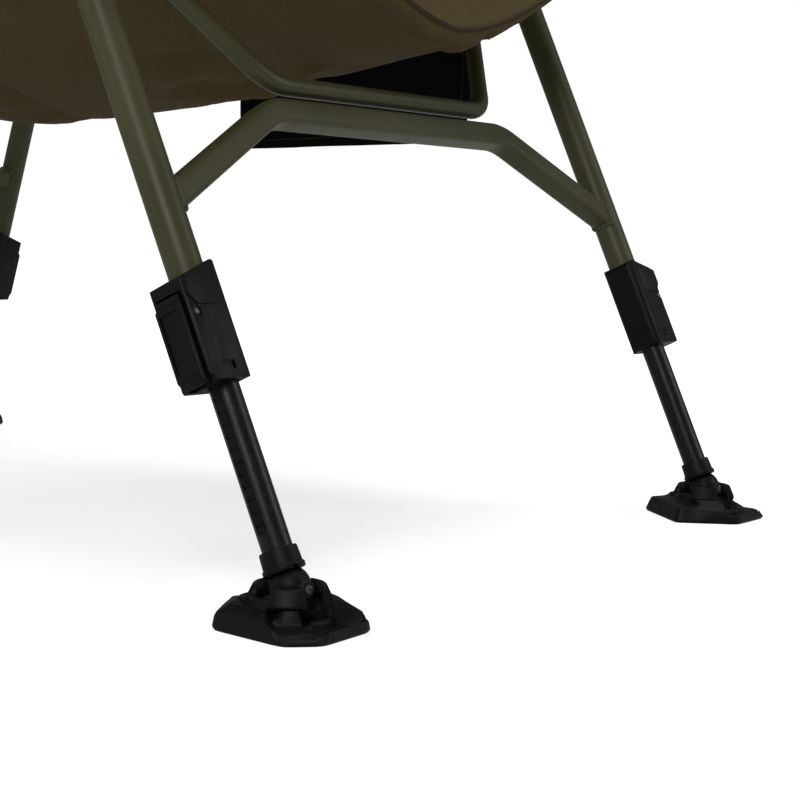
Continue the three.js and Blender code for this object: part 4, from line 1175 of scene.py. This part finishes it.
for name, side in sides.items():
    for n, span in enumerate([(-120, -30), (30, 348), (408, 427)]):
        sleeve(f"seat_sleeve_{name}_{n}", *span, rails, "seat_frame", side, 2, 12.6, 0.45)
    for n, span in enumerate([(60, 160), (210, 600)]):
        sleeve(f"back_sleeve_{name}_{n}", *span, back, "backrest", side, 1, 11.9, 0.2)
print("sleeves made")

# %% [markdown]
# ## Side pocket
# A black pocket hangs from the left rail. It is a flat sheet with a second layer sewn to its
# outer side, a tape round its border and one row of stitches. The outer layer stands off most at
# its open top, by 1.9 + 9 sin(pi u) (1 - v)^0.6 (0.35 + 0.65 sin(pi u)).

# %% Side pocket
def pocket_point(u, v):
    """Place at u from the front edge to the rear and v from the top down: (x, along, drop)."""
    front = 52 - 64 * v + 70 * v ** 2
    rear = 303 + 15 * v
    drop = 11.5 + (151.5 - 27 * u) * v - 10 * np.maximum(v - 0.85, 0) * (np.abs(2 * u - 1) > 0.97)
    sway = (2.6 * waves(u * 260, v * 150, 150, 31) + 0.8 * waves(u * 260, v * 150, 45, 32)) * v
    return np.stack([rail_x + sway, front + (rear - front) * u, -drop], -1)


def thin_sheet(name, points, thick, node=None):
    """A grid of points given a thickness along X, closed at its rim, with its flat map."""
    rows, columns = points.shape[:2]
    index = np.arange(rows * columns).reshape(rows, columns)
    rim = np.concatenate([index[:, 0], index[-1, 1:], index[-2::-1, -1], index[0, -2:0:-1]])
    faces = grid_faces(rows, columns)
    ends = np.stack([rim, np.roll(rim, -1), np.roll(rim, -1) + index.size, rim + index.size], -1)
    both = np.concatenate([points - [thick / 2, 0, 0], points + [thick / 2, 0, 0]]).reshape(-1, 3)
    part = both, np.concatenate([faces, faces[:, ::-1] + index.size, ends]).tolist()
    item = piece(name, placed(part, rails), "seat_frame", panel_cloth, node, smooth=50)
    with_map(item, both[:, 1:] / 1000)
    return item


grid_u, grid_v = np.meshgrid(np.linspace(0, 1, 70), np.linspace(0, 1, 40))
pocket = thin_sheet("pocket", pocket_point(grid_u, grid_v), 1.4, "side_pocket")
stand_off = 1.9 + 9 * np.sin(np.pi * grid_u) * (1 - grid_v) ** 0.6 * (0.35 + 0.65 * np.sin(np.pi * grid_u))
outer_points = pocket_point(grid_u, 0.32 + 0.66 * grid_v) + stand_off[..., None] * [1, 0, 0]
pocket_outer = thin_sheet("pocket_outer", outer_points, 1.2)
down = np.linspace(0.04, 1, 30)
around = np.concatenate([
    [(0, t) for t in down], [(t, 1) for t in np.linspace(0.01, 0.99, 60)], [(1, t) for t in down[::-1]],
])
border = rails.out(pocket_point(*around.T)) / 1000
tape_profile = np.array([(-4.5, -2.0), (-4.5, 2.0), (4.5, 2.0), (4.5, -2.0)]) / 1000
tape = swept(border, tape_profile, (1, 0, 0))
pocket_tape = piece("pocket_tape", tape, "seat_frame", panel_cloth, smooth=40)
with_map(pocket_tape, points_of(pocket_tape)[:, 1:])
inset = pocket_point(0.02 + 0.96 * around[:, 0], np.minimum(around[:, 1], 0.97)) - [2.0, 0, 0]
facing = np.broadcast_to((-1.0, 0, 0), inset.shape)
pocket_thread = stitch_row("pocket_stitches", rails.out(inset) / 1000, facing, "seat_frame")
for item in (pocket, pocket_outer, pocket_tape, pocket_thread):
    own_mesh(item)
print("side pocket made")

# %% [markdown]
# ## Plates, rivets, knobs and plugs
# Flat plates come from the solid model: their doubled points are merged, their flat faces are
# joined and their edges rounded. Over each rivet's plain head goes a domed one. A knob's radius
# is 20 + 3 cos 5t, and its profile scales that.

# %% Small hardware
core = 0.3


def refined(name, node, body):
    """A painted copy of a solid of the frame, with its edges rounded."""
    mesh = bpy.data.meshes.new(name)
    made = bmesh.new()
    made.from_mesh(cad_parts[node].data)
    bmesh.ops.remove_doubles(made, verts=made.verts, dist=2e-6)
    bmesh.ops.dissolve_limit(made, angle_limit=math.radians(1), verts=made.verts, edges=made.edges)
    bmesh.ops.recalc_face_normals(made, faces=made.faces)
    made.to_mesh(mesh)
    made.free()
    item = bpy.data.objects.new(name, mesh)
    bpy.context.scene.collection.objects.link(item)
    rounded(item, 0.5, 35)
    mesh.shade_smooth()
    mesh.set_sharp_from_angle(angle=math.radians(35))
    mesh.materials.append(paint.material)
    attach(item, body)
    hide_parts(node)


def on_x(profile, x):
    """A profile spun round X and moved along it."""
    points, faces = turned(profile, axis=0, count=32)
    return points + [x, 0, 0], faces


def peg(radius, length, x):
    """A plain round bar along X."""
    return on_x([(core, 0), (radius, 0), (radius, length), (core, length)], x)


dome = [(core, 0), (8.1, 0), (8.7, 0.5), (8.7, 1.6), (8.1, 3.0), (6.4, 4.3), (3.6, 5.1), (core, 5.4)]
small_dome = [(core, 0.4), (5.6, 0.4), (6.0, 0), (6.0, -0.8), (5.2, -2.0), (3.0, -2.9), (core, -3.2)]
nut = [(core, 0), (6, 0), (6.2, 0.6), (4.4, 2.4), (core, 3.0)]
plug_profile = [
    (core, -143.6), (6, -143.1), (9.4, -141.6), (11.1, -139.6), (11.1, -137.3), (9.4, -137.3),
    (9.4, -124), (core, -124),
]
post_cap = turned([
    (core, 4.6), (6.4, 4.0), (8.4, 2.4), (9.2, 0.2), (9.2, -0.1), (7.4, -0.1), (7.4, -9), (core, -9),
])
leg_cap = turned([
    (core, 3.4), (9, 3.0), (12, 1.6), (12.7, 0.2), (12.7, -0.1), (10.9, -0.1), (10.9, -4), (core, -4),
])
plug = turned(plug_profile, axis=1)
knob_rows = np.array([
    (0.3, 0), (0.97, 0), (1.02, 1.0), (1.02, 10.5), (0.99, 13.4), (0.9, 15.3), (0.74, 16),
    (0.58, 16), (0.52, 15.4), (0.5, 13.9), (0.02, 13.7),
])
knob_x, knob_radius, lobe_depth, lobes = 296.5, 20, 3, 5
turn_by = np.linspace(0, 2 * np.pi, 120, endpoint=False)
knob_reach = knob_rows[:, :1] * (knob_radius + lobe_depth * np.cos(lobes * turn_by))[None, :]
knob_along = knob_x + knob_rows[:, 1:] + 0 * knob_reach
knob_points = np.stack([knob_along, knob_reach * np.cos(turn_by), knob_reach * np.sin(turn_by)], -1)
knob_faces = grid_faces(*knob_reach.shape, False, True).tolist() + end_faces(*knob_reach.shape)
knob_shape = (knob_points.reshape(-1, 3), knob_faces)

hubs = rails.inner((0, back_along, back_rise))
leg_tops = {"front": rails.inner((0, 0, 0)), "rear": rails.inner((0, rear_along, 0))}
post_foot = rails.inner((0, -post_forward, 0))
post_head, arm_rivet = posts.inner((0, 0, arm_rise)), back.inner((0, 0, arm_rise))
post_tip = posts.inner((0, 0, arm_rise + 8.2))
post_pin = merge(peg(4, 12, 292.5), on_x(small_dome, 293.1))
arm_pin = merge(peg(4, 11, 291.5), on_x(dome, 300.2))
for name, side in sides.items():
    for end in turns:
        refined(f"{end}_plate_{name}", f"{end}_leg_plate_{name}", "seat_frame")
        rivet = placed(on_x(dome, 321.8), leg_tops[end], 0, side)
        piece(f"{end}_leg_rivet_{name}", rivet, "seat_frame", paint)
    refined(f"bracket_{name}", f"back_bracket_{name}", "seat_frame")
    refined(f"arm_rail_{name}", f"arm_bar_{name}", f"arm_{name}")
    for kind, part, place, x, body, look, node in (
        ("knob", knob_shape, hubs, 0, f"knob_{name}", nylon, f"recline_knob_{name}"),
        ("knob_nut", on_x(nut, 310.1), hubs, 0, f"knob_{name}", steel, None),
        ("post_rivet", on_x(dome, 318.3), post_foot, 0, "seat_frame", paint, None),
        ("post_washer", peg(7, 8.4, 291.3), post_foot, 0, "seat_frame", nylon, None),
        ("post_pin", post_pin, post_head, 0, f"arm_post_{name}", paint, None),
        ("arm_rivet", arm_pin, arm_rivet, 0, "backrest", paint, None),
        ("plug", plug, rails, side * rail_x, "seat_frame", nylon, f"rail_plug_{name}"),
        ("post_cap", post_cap, post_tip, side * leg_x, f"arm_post_{name}", nylon, None),
    ):
        piece(f"{kind}_{name}", placed(part, place, x, side), body, look, node)
    for end in turns:
        cap = placed(leg_cap, legs[end].inner((0, 0, reaches[end] + 15.2)), side * leg_x, side)
        piece(f"leg_cap_{end}_{name}", cap, f"{end}_legs", nylon)
print("small hardware made")

# %% [markdown]
# ## Studio
# A plain pale floor and four large soft lamps. The backdrop is white to the camera, by Light Path;
# reflections see it at a fifth of that, and it lights the chair at a tenth.

# %% Floor, world and lamps
for name, place, aim, size, power in (
    ("key", (-2.6, -1.6, 1.9), (0, 0, 0.25), 1.3, 44),
    ("left_fill", (-2.4, 1.6, 1.2), (0, 0, 0.25), 1.6, 10),
    ("right_fill", (1.6, -2.6, 1.5), (0, 0, 0.25), 1.4, 20),
    ("top", (0.2, 0.2, 3.0), (0, 0, 0.3), 2.4, 60),
):
    lamp = bpy.data.lights.new(name, "AREA")
    lamp.size, lamp.energy = size, power
    back_axis = unit(np.subtract(place, aim))
    side_axis = unit(np.cross((0, 0, 1) if abs(back_axis[2]) < 0.99 else (0, 1, 0), back_axis))
    stand(bpy.data.objects.new(name, lamp), side_axis, np.cross(back_axis, side_axis), back_axis, place)

world = bpy.data.worlds.new("studio")
bpy.context.scene.world = world
world.use_nodes = True
sky = world.node_tree
background = sky.nodes["Background"]
rays = sky.nodes.new("ShaderNodeLightPath")
seen, shiny, through = (
    Wire(sky, rays.outputs[f"Is {ray} Ray"]) for ray in ("Camera", "Glossy", "Transmission")
)
glow = seen.math("MAXIMUM", through).math("MAXIMUM", shiny * 0.2).math("MAXIMUM", 0.1)
background.inputs["Color"].default_value = (1, 1, 1, 1)
feed(sky, background.inputs["Strength"], glow)

floor = new_object("floor", ([(-9, -9, 0), (9, -9, 0), (9, 9, 0), (-9, 9, 0)], [[0, 1, 2, 3]]), 0)
floor_look = Finish("floor", None, 0.9, Base_Color=(0.8, 0.8, 0.8, 1), Emission_Strength=1.0)
spot = {"Vector": floor_look.place()}
from_middle = floor_look.add("VectorMath", spot, output="Value", operation="LENGTH")
pale = floor_look.span(from_middle, 0.9, 2.6, 0.58, 1.0)
in_view = floor_look.add("LightPath", output="Is Camera Ray")
floor_look.set(Emission_Color=floor_look.mixed(in_view * pale, (0, 0, 0), (1, 1, 1)))
floor.data.materials.append(floor_look.material)
bpy.context.scene.view_settings.view_transform = "Standard"
